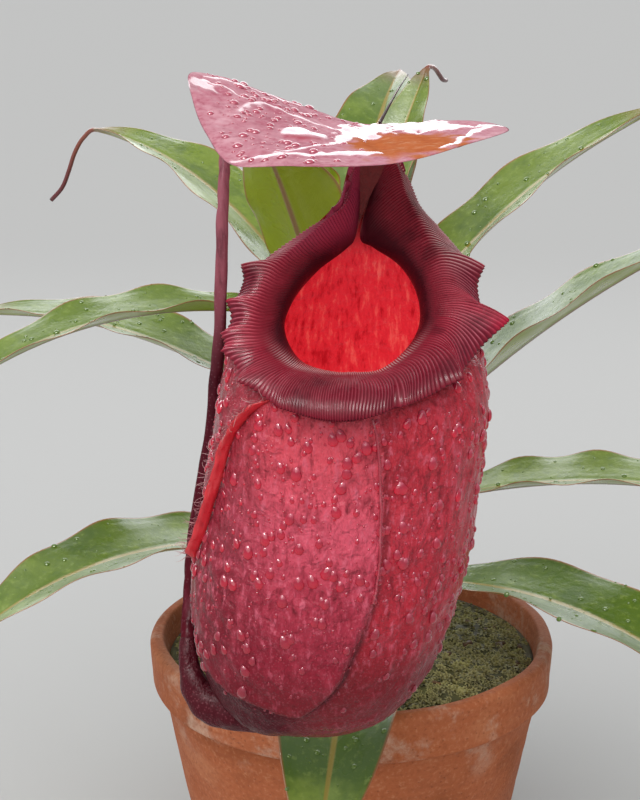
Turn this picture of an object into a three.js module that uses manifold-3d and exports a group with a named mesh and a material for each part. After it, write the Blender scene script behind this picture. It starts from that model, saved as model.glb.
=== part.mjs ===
// A tropical pitcher plant in a plain clay pot, with one large red pitcher hanging in front.
// Millimetres, +Z up, the front towards -Y. The origin is the centre of the pot's underside.

import * as THREE from 'three';
import { ParametricGeometry } from 'three/addons/geometries/ParametricGeometry.js';
import { mergeVertices } from 'three/addons/utils/BufferGeometryUtils.js';
import Module from 'manifold-3d';

const wasm = await Module();
wasm.setup();

// ---- driving dimensions ----
const CLEARANCE = 0.3; // between pieces that touch
const POT = {
  height: 150, rimRadius: 97, topRadius: 91, footRadius: 68,
  bandHeight: 24, bandFoot: 4, wall: 5, floor: 7, edge: 2, sides: 40,
};
const DRAIN = { count: 6, radius: 5, circle: 42, sides: 16 };
const MOSS = { edgeHeight: 138, crown: 7, bump: 1.6, around: 34, rings: 7 };
const STEM = {
  footHeight: 84, topHeight: 326, footRadius: 8.5, topRadius: 5.5, tipShare: 0.05,
  sides: 12, steps: 20,
};
const PITCHER = { x: -3.4, y: -185, z: 300 }; // middle of the pitcher, level with the middle of its cup
const CUP = {
  foot: -108, wall: 2, belowCrest: 3.1, shoulder: 8, neckFrom: 50, neckTo: 85,
  depthShare: 0.95, squareness: 2.3, columnAngle: 9, outerRows: 22, innerRows: 10,
};
const COLLAR = { thickness: 2.4, around: 92, across: 4, groove: 0.7 };
const LID = { thickness: 1.8, around: 40, rings: 7, level: 104 };
const LEAF = {
  ring: 12, bladeRows: 10, tendrilRows: 4, tendrilRadius: 1.1, thickness: 1.5,
  fold: 0.3, skew: 0.8, petioleShare: 0.2, petioleEnd: 0.6, petioleHalfWidth: 5,
};

const DEGREE = Math.PI / 180;
const vector = ([x, y, z = 0]) => new THREE.Vector3(x, y, z);
const clamp = THREE.MathUtils.clamp;
const mix = THREE.MathUtils.lerp;
const smooth = (from, to, value) => {
  const t = clamp((value - from) / (to - from), 0, 1);
  return t * t * (3 - 2 * t);
};

// A smooth curve through points, which may be plain [x, y] pairs.
function spline(points, closed = false) {
  return new THREE.CatmullRomCurve3(points.map(vector), closed, 'catmullrom', 0.5);
}

// ---- closed meshes and joins ----

// One closed mesh: equal points merged, flat faces dropped, faces turned outwards.
function cleaned(source) {
  const bare = source.index ? source.clone() : source;
  bare.deleteAttribute('normal');
  bare.deleteAttribute('uv');
  const merged = mergeVertices(bare, 1e-3);
  const corner = merged.index.array;
  const place = merged.attributes.position;
  const kept = [];
  let volume = 0;
  for (let i = 0; i < corner.length; i += 3) {
    const [a, b, c] = corner.slice(i, i + 3);
    if (a === b || b === c || c === a) continue;
    kept.push(a, b, c);
    const [p, q, r] = [a, b, c].map((k) => new THREE.Vector3().fromBufferAttribute(place, k));
    volume += p.dot(q.cross(r));
  }
  if (volume < 0) kept.reverse();
  merged.setIndex(kept);
  return merged;
}

// A closed surface: pointAt(u, v) goes round once as u runs from 0 to 1.
function closedSurface(pointAt, around, along) {
  const place = (u, v, target) => target.copy(pointAt(u % 1, v));
  return cleaned(new ParametricGeometry(place, around, along));
}

function toSolid(geometry) {
  const clean = cleaned(geometry);
  const vertProperties = new Float32Array(clean.attributes.position.array);
  const triVerts = new Uint32Array(clean.index.array);
  return new wasm.Manifold(new wasm.Mesh({ numProp: 3, vertProperties, triVerts }));
}

function toGeometry(solid) {
  const result = solid.getMesh();
  const geometry = new THREE.BufferGeometry();
  const places = [];
  for (let i = 0; i < result.vertProperties.length; i += result.numProp) {
    places.push(...result.vertProperties.slice(i, i + 3));
  }
  geometry.setAttribute('position', new THREE.Float32BufferAttribute(places, 3));
  geometry.setIndex(Array.from(result.triVerts));
  return cleaned(geometry);
}

const largestPart = (solid) => solid.decompose().sort((a, b) => b.volume() - a.volume())[0];

// A round rod along a curve, flat at both ends, with a radius for each share of its length.
function rod(curve, radiusAt, sides, steps) {
  const { normals, binormals } = curve.computeFrenetFrames(steps, false);
  return closedSurface((u, v) => {
    const row = Math.round(v * (steps + 2));
    const step = clamp(row - 1, 0, steps);
    const centre = curve.getPointAt(step / steps);
    const radius = row === 0 || row === steps + 2 ? 0 : radiusAt(step / steps);
    const angle = u * 2 * Math.PI;
    centre.addScaledVector(normals[step], radius * Math.cos(angle));
    return centre.addScaledVector(binormals[step], radius * Math.sin(angle));
  }, sides, steps + 2);
}

// ---- pot, moss and stem ----

function pot() {
  const { height, rimRadius, topRadius, footRadius, bandHeight, bandFoot, wall, floor, edge } = POT;
  const outline = [
    [0, 0], [footRadius - edge, 0], [footRadius, edge],
    [topRadius, height - bandHeight], [rimRadius - edge / 2, height - bandHeight + edge / 2],
    [rimRadius, height - edge], [rimRadius - edge, height],
    [rimRadius - wall - edge / 2, height], [rimRadius - wall - edge, height - edge],
    [topRadius - wall, height - bandHeight - bandFoot], [footRadius - wall, floor], [0, floor],
  ];
  const turned = new THREE.LatheGeometry(outline.map(([r, z]) => new THREE.Vector2(r, z)), POT.sides);
  let solid = toSolid(turned.rotateX(Math.PI / 2));
  for (let hole = 0; hole < DRAIN.count; hole += 1) {
    const angle = (hole / DRAIN.count) * 2 * Math.PI;
    const drill = new THREE.CylinderGeometry(DRAIN.radius, DRAIN.radius, 3 * floor, DRAIN.sides);
    drill.rotateX(Math.PI / 2);
    drill.translate(DRAIN.circle * Math.cos(angle), DRAIN.circle * Math.sin(angle), floor / 2);
    solid = solid.subtract(toSolid(drill));
  }
  return toGeometry(solid);
}

const POT_KINK = POT.height - POT.bandHeight - POT.bandFoot; // where the inside widens towards the rim

// Radius of the pot's inside at a height, less the clearance.
function mossRadius(z) {
  const { height, rimRadius, topRadius, footRadius, wall, floor, edge } = POT;
  const outer = z < POT_KINK
    ? mix(footRadius, topRadius, (z - floor) / (POT_KINK - floor))
    : mix(topRadius, rimRadius - edge, (z - POT_KINK) / (height - edge - POT_KINK));
  return outer - wall - CLEARANCE;
}

function mossTop(x, y) {
  const reach = Math.hypot(x, y) / mossRadius(MOSS.edgeHeight);
  const bumps = Math.sin(x / 7 + 1.3 * Math.sin(y / 11)) * Math.cos(y / 8 + 0.9 * Math.sin(x / 13));
  return MOSS.edgeHeight + MOSS.crown * (1 - reach ** 2) + MOSS.bump * bumps * (1 - reach ** 6);
}

function growingMedium(stemSolid) {
  const foot = POT.floor + CLEARANCE;
  const sides = [[foot, 0], [foot, 1], [POT_KINK, 1], [MOSS.edgeHeight, 1]];
  const rows = sides.length - 1 + MOSS.rings;
  const solid = toSolid(closedSurface((u, v) => {
    const row = Math.round(v * rows);
    const angle = u * 2 * Math.PI;
    if (row < sides.length) {
      const [z, share] = sides[row];
      const radius = mossRadius(z) * share;
      return vector([radius * Math.cos(angle), radius * Math.sin(angle), z]);
    }
    const radius = mossRadius(MOSS.edgeHeight) * (1 - (row - sides.length + 1) / MOSS.rings);
    const [x, y] = [radius * Math.cos(angle), radius * Math.sin(angle)];
    return vector([x, y, mossTop(x, y)]);
  }, MOSS.around, rows));
  return toGeometry(solid.subtract(stemSolid));
}

const STEM_LINE = spline([[0, 0, STEM.footHeight], [1.5, 1, 160], [-1, -1.5, 245], [0, 0, STEM.topHeight]]);
const stem = (grown = 0) => {
  const roundTip = (t) => Math.sqrt(1 - clamp((t - 1 + STEM.tipShare) / STEM.tipShare, 0, 0.9) ** 2);
  const radiusAt = (t) => mix(STEM.footRadius, STEM.topRadius, t) * roundTip(t) + grown;
  return rod(STEM_LINE, radiusAt, STEM.sides, STEM.steps);
};

// ---- leaves ----

// Each leaf leaves the stem at a height, turned round the stem from +X. It rises at the first angle,
// ends at the second, swings sideways by the third and carries a tendril beyond the blade's tip.
const LEAVES = [
  { height: 166, turn: -92, rise: 14, fall: -40, swing: -8, length: 190, width: 52, tendril: 50 },
  { height: 177, turn: -30, rise: 18, fall: -34, swing: -10, length: 205, width: 54, tendril: 60 },
  { height: 187, turn: 205, rise: 26, fall: -30, swing: 12, length: 200, width: 52, tendril: 45 },
  { height: 197, turn: 108, rise: 24, fall: -38, swing: -8, length: 200, width: 54, tendril: 50 },
  { height: 208, turn: -16, rise: 24, fall: -16, swing: 6, length: 200, width: 46, tendril: 55 },
  { height: 219, turn: -2, rise: 50, fall: 28, swing: -10, length: 205, width: 56, tendril: 50 },
  { height: 229, turn: 62, rise: 34, fall: -26, swing: 8, length: 205, width: 54, tendril: 50 },
  { height: 240, turn: 170, rise: 38, fall: -8, swing: -8, length: 200, width: 50, tendril: 60 },
  { height: 266, turn: 24, rise: 56, fall: 24, swing: -16, length: 200, width: 54, tendril: 45 },
  { height: 278, turn: 140, rise: 56, fall: 8, swing: 8, length: 190, width: 50, tendril: 50 },
  { height: 290, turn: 84, rise: 62, fall: 18, swing: -10, length: 180, width: 48, tendril: 50 },
  { height: 300, turn: 196, rise: 18, fall: -30, swing: 12, length: 185, width: 44, tendril: 60 },
  { height: 310, turn: 50, rise: 72, fall: 46, swing: 10, length: 120, width: 28, tendril: 30 },
  { height: 319, turn: 220, rise: 78, fall: 60, swing: -10, length: 85, width: 18, tendril: 20 },
];

// The midrib of the leaf that carries the pitcher, from the stem to the tip behind the lid.
const BEARER_LINE = [
  [-0.5, -2, 250], [-4, -14, 278], [-11, -30, 306], [-20, -48, 338], [-28, -67, 366], [-35, -84, 388],
  [-41.5, -97, 402],
];
const BEARER = { width: 46, skew: 1.4, tipRadius: 1.7, bladeShare: 0.97 };

function direction(turn, rise) {
  const [a, e] = [turn * DEGREE, rise * DEGREE];
  return new THREE.Vector3(Math.cos(a) * Math.cos(e), Math.sin(a) * Math.cos(e), Math.sin(e));
}

// Midrib and tendril of a leaf as one line of points, starting inside the stem.
function leafLine({ height, turn, rise, fall, swing, length, tendril }) {
  const bladeSteps = 8;
  const tendrilSteps = 5;
  const droop = 75; // how far the tendril bends down past the blade, in degrees
  const place = STEM_LINE.getPoint((height - STEM.footHeight) / (STEM.topHeight - STEM.footHeight));
  place.addScaledVector(direction(turn, 0), 3);
  const points = [place.toArray()];
  for (let step = 1; step <= bladeSteps; step += 1) {
    const share = (step - 0.5) / bladeSteps;
    const heading = direction(turn + swing * share, mix(rise, fall, share ** 1.2));
    place.addScaledVector(heading, length / bladeSteps);
    points.push(place.toArray());
  }
  for (let step = 1; step <= tendrilSteps; step += 1) {
    const share = step / tendrilSteps;
    const bend = droop * Math.sin(share * Math.PI * 0.75);
    const heading = direction(turn + swing * (1 + share), fall - bend);
    place.addScaledVector(heading, tendril / tendrilSteps);
    points.push(place.toArray());
  }
  return { curve: spline(points), bladeShare: length / (length + tendril) };
}

// Half the blade's width at a share of the blade's length: a winged stalk, then a lance-shaped blade.
function halfWidth(width, share, tipRadius, skew) {
  const blade = clamp((share - LEAF.petioleShare) / (1 - LEAF.petioleShare), 0, 1);
  const lance = Math.sin(Math.PI * blade ** skew) ** 0.75;
  const stalk = LEAF.petioleHalfWidth * (1 - smooth(LEAF.petioleShare, LEAF.petioleEnd, share));
  return Math.max(stalk, tipRadius) * (1 - lance) + Math.max((width / 2) * lance, tipRadius);
}

// The blade and its tendril as one closed skin: folded along the midrib, thin towards the margins.
function leafSkin({ curve, bladeShare }, { width, tendrilRadius, tendrilRows, skew }) {
  const bladeRows = LEAF.bladeRows;
  const rows = bladeRows + tendrilRows;
  const worldUp = new THREE.Vector3(0, 0, 1);
  return closedSurface((u, v) => {
    const row = clamp(Math.round(v * (rows + 2)) - 1, 0, rows);
    const end = v === 0 || v === 1 ? 0 : 1;
    const onBlade = row <= bladeRows;
    const share = onBlade ? row / bladeRows : 1;
    const at = onBlade ? share * bladeShare : mix(bladeShare, 1, (row - bladeRows) / tendrilRows);
    const centre = curve.getPointAt(at);
    const heading = curve.getTangentAt(at);
    const side = new THREE.Vector3().crossVectors(worldUp, heading).normalize();
    const up = new THREE.Vector3().crossVectors(heading, side);
    const angle = u * 2 * Math.PI;
    const half = onBlade ? halfWidth(width, share, tendrilRadius, skew) : tendrilRadius;
    const flat = onBlade ? smooth(tendrilRadius, 3 * tendrilRadius, half) : 0;
    const across = Math.cos(angle);
    const skin = Math.sign(Math.sin(angle)) * Math.abs(Math.sin(angle)) ** 0.6;
    const leafLift = half * LEAF.fold * Math.abs(across) ** 1.2 + (LEAF.thickness / 2) * skin;
    const lift = mix(tendrilRadius * Math.sin(angle), leafLift, flat);
    return centre.addScaledVector(side, end * half * across).addScaledVector(up, end * lift);
  }, LEAF.ring, rows + 2);
}

function leaf(plan, grownStem) {
  const size = { ...LEAF, width: plan.width };
  return toGeometry(largestPart(toSolid(leafSkin(leafLine(plan), size)).subtract(grownStem)));
}

function bearerLeaf(grownStem) {
  const line = { curve: spline(BEARER_LINE), bladeShare: BEARER.bladeShare };
  const size = { width: BEARER.width, tendrilRadius: BEARER.tipRadius, tendrilRows: 1, skew: BEARER.skew };
  return toGeometry(largestPart(toSolid(leafSkin(line, size)).subtract(grownStem)));
}

// ---- the pitcher's tendril ----

// It runs on from the leaf's tip, over behind the lid and down past the cup's left side to its foot.
const TENDRIL_LINE = [
  [-41.7, -97.5, 402.5], [-43.6, -104.5, 407.6], [-45.2, -118, 411.2], [-46.8, -148, 410.5],
  [-47.4, -170, 403], [-47.6, -180, 392], [-48.5, -184, 370.5], [-50, -180, 339.5],
  [-52.4, -172, 316.5], [-54.4, -167, 298.5], [-57.8, -166, 279], [-61.4, -167, 256.5],
  [-63, -172, 235], [-63.3, -180.4, 223.8],
];
const TENDRIL = { topRadius: 1.7, footRadius: 2.8, sides: 10, steps: 30 };

function tendril() {
  const radiusAt = (t) => mix(TENDRIL.topRadius, TENDRIL.footRadius, smooth(0.1, 1, t));
  return rod(spline(TENDRIL_LINE), radiusAt, TENDRIL.sides, TENDRIL.steps);
}

// ---- the pitcher: mouth lines ----

// Stations round the mouth, from the front past the right side to the neck and back on the left.
// Each has its inner edge, the crest of the collar, its outer edge and the cup's direction there.
const MOUTH = [
  { inner: [-2, -27, 28], crest: [-1.5, -41, 32.5], outer: [-2.5, -54, 22], around: 0 },
  { inner: [9.5, -23, 29.5], crest: [10, -36, 33], outer: [12.5, -49, 25], around: 38 },
  { inner: [19, -10, 35.5], crest: [22.5, -24, 38.5], outer: [27, -38, 28.5], around: 66 },
  { inner: [22.5, 1, 42.5], crest: [30.5, -9, 47], outer: [41.5, -14, 37], around: 90 },
  { inner: [21.5, 12, 50.5], crest: [29.5, 4, 57.5], outer: [42.5, 4, 49], around: 107 },
  { inner: [16, 22, 58], crest: [25.5, 14, 67], outer: [39, 12, 60.5], around: 121 },
  { inner: [7, 30, 63], crest: [21, 23, 76.5], outer: [30, 20, 71], around: 136 },
  { inner: [2.6, 34, 66], crest: [17.5, 28, 84], outer: [23.5, 27, 78], around: 150 },
  { inner: [5.5, 36, 80], crest: [15, 32, 92.5], outer: [18.5, 31, 88.5], around: 165 },
  { inner: [7.2, 36, 94], crest: [8, 32, 102.6], outer: [8, 27, 102], around: 180 },
  { inner: [3, 36, 81], crest: [1, 32, 92.5], outer: [-1, 31, 88.5], around: 194 },
  { inner: [1, 34, 66.5], crest: [-2.5, 28, 80.5], outer: [-4.5, 27.5, 77], around: 208 },
  { inner: [-3, 30, 62], crest: [-11, 22, 72.5], outer: [-16, 20.5, 71], around: 223 },
  { inner: [-12.5, 22, 56], crest: [-25, 10, 61.5], outer: [-34.5, 12, 58], around: 240 },
  { inner: [-21, 12, 47.5], crest: [-32.5, -3, 49.5], outer: [-40.5, 2, 47.5], around: 258 },
  { inner: [-24, 0, 40], crest: [-33.5, -14, 38], outer: [-42, -12, 35], around: 276 },
  { inner: [-19.5, -13, 32.5], crest: [-25, -28, 32.5], outer: [-32, -34, 26.5], around: 300 },
  { inner: [-11, -22, 28.5], crest: [-14, -37, 32], outer: [-17, -49, 22.5], around: 330 },
];
// A point high in front of the mouth, which the collar's upper face looks towards.
const COLLAR_FACES = vector([0, -75, 112]);

// Teeth and scallops of the collar's outer edge: share of the way round, reach and width.
const TOOTH_LIFT = 0.35; // how steeply they turn up
const TEETH = [
  { at: 0.215, reach: 9, width: 0.012 }, { at: 0.14, reach: 5, width: 0.01 },
  { at: 0.29, reach: 5, width: 0.01 }, { at: 0.055, reach: 2, width: 0.009 },
  { at: 0.71, reach: 4.5, width: 0.01 }, { at: 0.775, reach: 4, width: 0.009 },
  { at: 0.815, reach: 3, width: 0.008 }, { at: 0.835, reach: 3, width: 0.008 },
  { at: 0.88, reach: 4, width: 0.009 }, { at: 0.93, reach: 1.5, width: 0.008 },
];

const edgeLine = (edge) => spline(MOUTH.map((station) => station[edge]), true);
const INNER = edgeLine('inner');
const CREST = edgeLine('crest');
const OUTER = edgeLine('outer');
CREST.arcLengthDivisions = 1200;

// The mouth at one place on its lines: its three edge points and its directions.
function mouthAt(t) {
  const inner = INNER.getPoint(t);
  const crest = CREST.getPoint(t);
  const outer = OUTER.getPoint(t);
  const along = CREST.getPoint((t + 0.001) % 1).sub(CREST.getPoint((t + 0.999) % 1)).normalize();
  const out = outer.clone().sub(inner);
  out.addScaledVector(along, -out.dot(along)).normalize();
  const up = new THREE.Vector3().crossVectors(out, along).normalize();
  if (up.dot(COLLAR_FACES.clone().sub(crest)) < 0) up.negate();
  return { inner, crest, outer, along, out, up };
}

function toothReach(share) {
  let reach = 0;
  for (const tooth of TEETH) {
    const away = Math.abs(((share - tooth.at + 1.5) % 1) - 0.5);
    reach += tooth.reach * Math.exp(-0.8 * (away / tooth.width) ** 2);
  }
  return reach;
}

// ---- the pitcher's collar ----

const ROUND = 0.55; // handle length that makes a quarter curve round

// The collar's cross-section: an arch from the inner edge over the crest to the outer edge.
function collarArch(share) {
  const { inner, crest, outer, along, out, up } = mouthAt(CREST.getUtoTmapping(share));
  const reach = toothReach(share);
  outer.addScaledVector(out, reach).addScaledVector(up, TOOTH_LIFT * reach);
  const [upIn, upOut] = [crest.clone().sub(inner), crest.clone().sub(outer)];
  const [rise, fall] = [ROUND * upIn.dot(up), ROUND * upOut.dot(up)];
  const [run, spread] = [ROUND * upIn.dot(out), -ROUND * upOut.dot(out)];
  const rising = new THREE.CubicBezierCurve3(
    inner, inner.clone().addScaledVector(up, rise), crest.clone().addScaledVector(out, -run), crest);
  const falling = new THREE.CubicBezierCurve3(
    crest, crest.clone().addScaledVector(out, spread), outer.clone().addScaledVector(up, fall), outer);
  const pointAt = (w) => (w < 0.5 ? rising.getPoint(2 * w) : falling.getPoint(2 * w - 1));
  return (w) => {
    const point = pointAt(w);
    const slope = pointAt(Math.min(w + 0.02, 1)).sub(pointAt(Math.max(w - 0.02, 0)));
    const normal = new THREE.Vector3().crossVectors(along, slope);
    if (normal.dot(up) < 0) normal.negate();
    return { point, normal: normal.normalize(), out };
  };
}

// Its upper face is ribbed: every other column of points lies in a groove.
function collar(grown = 0) {
  const { around, across } = COLLAR;
  const arches = Array.from({ length: around }, (_, i) => collarArch(i / around));
  const sections = 4 * across;
  return closedSurface((u, v) => {
    const column = Math.round(u * around) % around;
    const arch = arches[column];
    const step = Math.round(v * sections) % sections;
    const upper = step <= 2 * across;
    const w = (upper ? step : sections - step) / (2 * across);
    const { point, normal, out } = arch(w);
    const edge = w === 0 || w === 1;
    const groove = grown === 0 && column % 2 ? COLLAR.groove : 0;
    const depth = upper ? groove - grown : COLLAR.thickness * Math.sin(Math.PI * w) ** 0.5 + grown;
    if (edge) return point.addScaledVector(out, 2 * grown * Math.sign(w - 0.5));
    return point.addScaledVector(normal, -depth);
  }, around, sections);
}

// ---- the pitcher's cup ----

const CUP_PROFILE = spline([
  [0, 0, -108], [16, 0, -106], [29, 0, -99], [38, 0, -87], [43.5, 0, -72], [46.5, 0, -56],
  [48, 0, -38], [47.6, 0, -15], [46.8, 0, 15], [46.8, 0, 45],
]).getPoints(200);
const CUP_AXIS = spline([
  [-15, 0, -108], [-10, 0, -60], [-4.5, 0, -20], [0, 0, 18], [0, 0, 45], [0, 0, 110],
]).getPoints(200);
// Right and lower border of the raised front panel, seen from the front.
const PANEL_BORDER = spline([
  [7, 0, 24], [8.5, 0, 5], [8.8, 0, -14], [8, 0, -28], [5.5, 0, -41], [2.5, 0, -51],
  [-2, 0, -61], [-7.5, 0, -71], [-15, 0, -81], [-23, 0, -88], [-33, 0, -92.5], [-44, 0, -94],
]).getPoints(120);
const PANEL = { lift: 0.8, footLift: 3.4 };
const POLE_SHARE = 0.18; // part of each meridian where its rows crowd towards the foot

function xAtHeight(points, z) {
  const next = clamp(points.findIndex((p) => p.z >= z), 1, points.length - 1);
  const above = z > points[points.length - 1].z ? points.length - 1 : next;
  const [a, b] = [points[above - 1], points[above]];
  return mix(a.x, b.x, clamp((z - a.z) / (b.z - a.z), 0, 1));
}

function heightShare(v) {
  const share = v < POLE_SHARE ? v ** 2 / (2 * POLE_SHARE) : v - POLE_SHARE / 2;
  return share / (1 - POLE_SHARE / 2);
}

function aroundAt(t) {
  const place = t * MOUTH.length;
  const index = Math.floor(place) % MOUTH.length;
  const next = index === MOUTH.length - 1 ? 360 : MOUTH[index + 1].around;
  return mix(MOUTH[index].around, next, place - Math.floor(place)) * DEGREE;
}

// The cup's plain outer skin: t goes round the mouth's stations, v from the foot to the rim.
function plainSkin(t, v) {
  const { crest, up } = mouthAt(((t % 1) + 1) % 1);
  const rim = crest.addScaledVector(up, -CUP.belowCrest);
  const z = mix(CUP.foot, rim.z, heightShare(v));
  const climb = clamp((z - CUP.shoulder) / (rim.z - CUP.shoulder), 0, 1);
  const neck = smooth(CUP.neckFrom, CUP.neckTo, rim.z);
  const turnIn = mix(1 - Math.sqrt(1 - climb ** 2.2), climb ** 1.15, neck);
  const angle = aroundAt(((t % 1) + 1) % 1);
  const [right, back] = [Math.sin(angle), -Math.cos(angle)];
  const square = Math.abs(right) ** CUP.squareness + Math.abs(back) ** CUP.squareness;
  const reach = xAtHeight(CUP_PROFILE, z) * square ** (-1 / CUP.squareness);
  const x = xAtHeight(CUP_AXIS, z) + reach * right;
  return new THREE.Vector3(mix(x, rim.x, turnIn), mix(reach * CUP.depthShare * back, rim.y, turnIn), z);
}

function plainNormal(t, v) {
  if (v < 1e-6) return new THREE.Vector3(0, 0, -1);
  const sideways = plainSkin(t + 0.004, v).sub(plainSkin(t - 0.004, v));
  const upwards = plainSkin(t, Math.min(v + 0.004, 1)).sub(plainSkin(t, v - 0.004));
  return new THREE.Vector3().crossVectors(sideways, upwards).normalize();
}

// How far the front panel stands out at a point of the skin.
function panelLift({ x, y, z }) {
  const distances = PANEL_BORDER.map((border) => Math.hypot(border.x - x, border.z - z));
  const nearest = distances.indexOf(Math.min(...distances));
  const [here, before] = [PANEL_BORDER[nearest], PANEL_BORDER[Math.max(nearest - 1, 0)]];
  const after = PANEL_BORDER[Math.min(nearest + 1, PANEL_BORDER.length - 1)];
  const side = (after.z - before.z) * (x - here.x) - (after.x - before.x) * (z - here.z);
  const inside = smooth(-0.8, 1.6, Math.sign(side) * distances[nearest]);
  return inside * smooth(5, -15, y) * (PANEL.lift + PANEL.footLift * smooth(-25, -70, z));
}

function skin(t, v) {
  const point = plainSkin(t, v);
  const normal = plainNormal(t, v);
  return { point: point.addScaledVector(normal, panelLift(point)), normal };
}

// Places round the mouth for the cup's columns, about the same angle apart.
const CUP_COLUMNS = MOUTH.flatMap((station, i) => {
  const next = i + 1 < MOUTH.length ? MOUTH[i + 1].around : 360;
  const count = Math.max(2, Math.round((next - station.around) / CUP.columnAngle));
  return Array.from({ length: count }, (_, k) => (i + k / count) / MOUTH.length);
});

function cup() {
  const { outerRows, innerRows } = CUP;
  const rows = outerRows + innerRows + 1;
  return closedSurface((u, v) => {
    const row = Math.round(v * rows);
    const outside = row <= outerRows;
    const t = CUP_COLUMNS[Math.round(u * CUP_COLUMNS.length) % CUP_COLUMNS.length];
    const { point, normal } = skin(t, outside ? row / outerRows : (rows - row) / innerRows);
    return outside ? point : point.addScaledVector(normal, -CUP.wall);
  }, CUP_COLUMNS.length, rows);
}

// The swollen foot where the tendril turns up into the cup.
const HORN_LINE = [
  [-59.9, 4.2, -76.7], [-59.8, 0.4, -82], [-57.5, -4, -90.5], [-53, -7, -96.2],
  [-47, -9, -98], [-37, -11, -97.4], [-24.4, -11, -95.5],
];
const HORN = { radii: [2.8, 3.3, 4.6, 5.6, 6.4, 7.4, 9], sides: 14, steps: 14 };

function horn() {
  const radii = spline(HORN.radii.map((radius) => [radius, 0]));
  return rod(spline(HORN_LINE), (t) => radii.getPoint(t).x, HORN.sides, HORN.steps);
}

function pitcherBody() {
  const joined = toSolid(cup()).add(toSolid(horn()));
  const cleared = joined.subtract(toSolid(collar(2 * CLEARANCE))).subtract(toSolid(collar()));
  return toGeometry(largestPart(cleared));
}

// ---- the pitcher's lid and spur ----

const LID_EDGE = spline([
  [8, 37], [24, 33], [41, 22], [51, 2], [43, -22], [27, -44], [8, -57], [-10, -61],
  [-27, -57], [-40, -44], [-48, -22], [-54, 2], [-57, 24], [-50, 36], [-31, 37], [-8, 34],
], true);
const LID_MIDDLE = vector([0, -8]);

function lidHeight(x, y) {
  const leftLobe = clamp((6 - x) / 62, 0, 1.2) ** 1.25 * smooth(-52, 36, y);
  const rightTip = 3.5 * smooth(5, 50, x) + 1.6 * smooth(-10, 33, y);
  const leftFront = -3 * smooth(-20, -45, x) * smooth(-20, -50, y) - 1.5 * smooth(-35, -62, y);
  return LID.level + rightTip + 21.5 * leftLobe + leftFront;
}

function lid() {
  const rows = 2 * LID.rings;
  return closedSurface((u, v) => {
    const upper = v <= 0.5;
    const reach = upper ? 2 * v : 2 - 2 * v;
    const place = LID_EDGE.getPoint(u).sub(LID_MIDDLE).multiplyScalar(reach).add(LID_MIDDLE);
    const half = (LID.thickness / 2) * Math.sqrt(1 - reach ** 4);
    place.z = lidHeight(place.x, place.y) + (upper ? half : -half);
    return place;
  }, LID.around, rows);
}

const SPUR_LINE = [
  [9.3, 33, 106.9], [10.5, 35.3, 108.8], [13, 38.5, 113], [16, 41, 118], [19.5, 42.5, 123],
];
const SPUR = { footRadius: 0.65, tipRadius: 0.3, sides: 8, steps: 8 };

function spur() {
  return rod(spline(SPUR_LINE), (t) => mix(SPUR.footRadius, SPUR.tipRadius, t), SPUR.sides, SPUR.steps);
}

// ---- the pitcher's wings ----

// Ribs of thin tissue standing on the cup: (station, height) along the skin, and the rib's own height.
const WINGS = {
  wing_left: {
    line: [[16.5, 20], [16.38, 15], [16.2, 6], [16.08, -8], [15.85, -25], [15.55, -38]],
    reach: 4.3,
  },
  wing_right: {
    line: [[0.18, 20], [0.24, 10], [0.34, -10], [0.41, -32], [0.4, -44]],
    reach: 1.5,
  },
};
const WING = { thickness: 0.8, steps: 16, taper: 0.12 };

function wing({ line, reach }) {
  const route = spline(line);
  const corners = [[-1, 0], [1, 0], [1, 0.55], [0.7, 1], [-0.7, 1], [-1, 0.55]];
  return closedSurface((u, v) => {
    const row = Math.round(v * (WING.steps + 2));
    const share = clamp(row - 1, 0, WING.steps) / WING.steps;
    const [station, z] = route.getPoint(share).toArray();
    const t = station / MOUTH.length;
    const { crest, up } = mouthAt(t);
    const rimHeight = crest.z - CUP.belowCrest * up.z;
    const meridian = ((z - CUP.foot) / (rimHeight - CUP.foot)) * (1 - POLE_SHARE / 2) + POLE_SHARE / 2;
    const { point, normal } = skin(t, meridian);
    const side = new THREE.Vector3().crossVectors(normal, vector([0, 0, 1])).normalize();
    const topTaper = smooth(-0.02, WING.taper, share);
    const footTaper = smooth(1.02, 1.02 - WING.taper / 2, share);
    const full = reach * topTaper * footTaper;
    const [across, height] = corners[Math.round(u * corners.length) % corners.length];
    const end = row === 0 || row === WING.steps + 2;
    point.addScaledVector(side, end ? 0 : (across * WING.thickness) / 2);
    return point.addScaledVector(normal, 2 * CLEARANCE + (end ? 0.5 : height) * full);
  }, corners.length, WING.steps + 2);
}

// ---- the plant ----

const COLOURS = {
  clay: { color: 0xa9583a, roughness: 0.85 },
  moss: { color: 0x79733f, roughness: 1 },
  bark: { color: 0x4d3a26, roughness: 0.8 },
  leaf: { color: 0x5e7a2c, roughness: 0.45 },
  vine: { color: 0x5a2e33, roughness: 0.5 },
  cup: { color: 0xb04a58, roughness: 0.35 },
  collar: { color: 0x631a26, roughness: 0.25 },
  lid: { color: 0xcd7f8d, roughness: 0.2 },
  spur: { color: 0x2c1418, roughness: 0.5 },
  wing: { color: 0xc0303c, roughness: 0.4 },
};

const plant = new THREE.Group();
const pitcher = new THREE.Group();
pitcher.position.set(PITCHER.x, PITCHER.y, PITCHER.z);
plant.add(pitcher);

function place(group, name, geometry, colour) {
  const material = new THREE.MeshStandardMaterial({ metalness: 0, ...COLOURS[colour] });
  const mesh = new THREE.Mesh(geometry, material);
  mesh.name = name;
  group.add(mesh);
}

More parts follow.
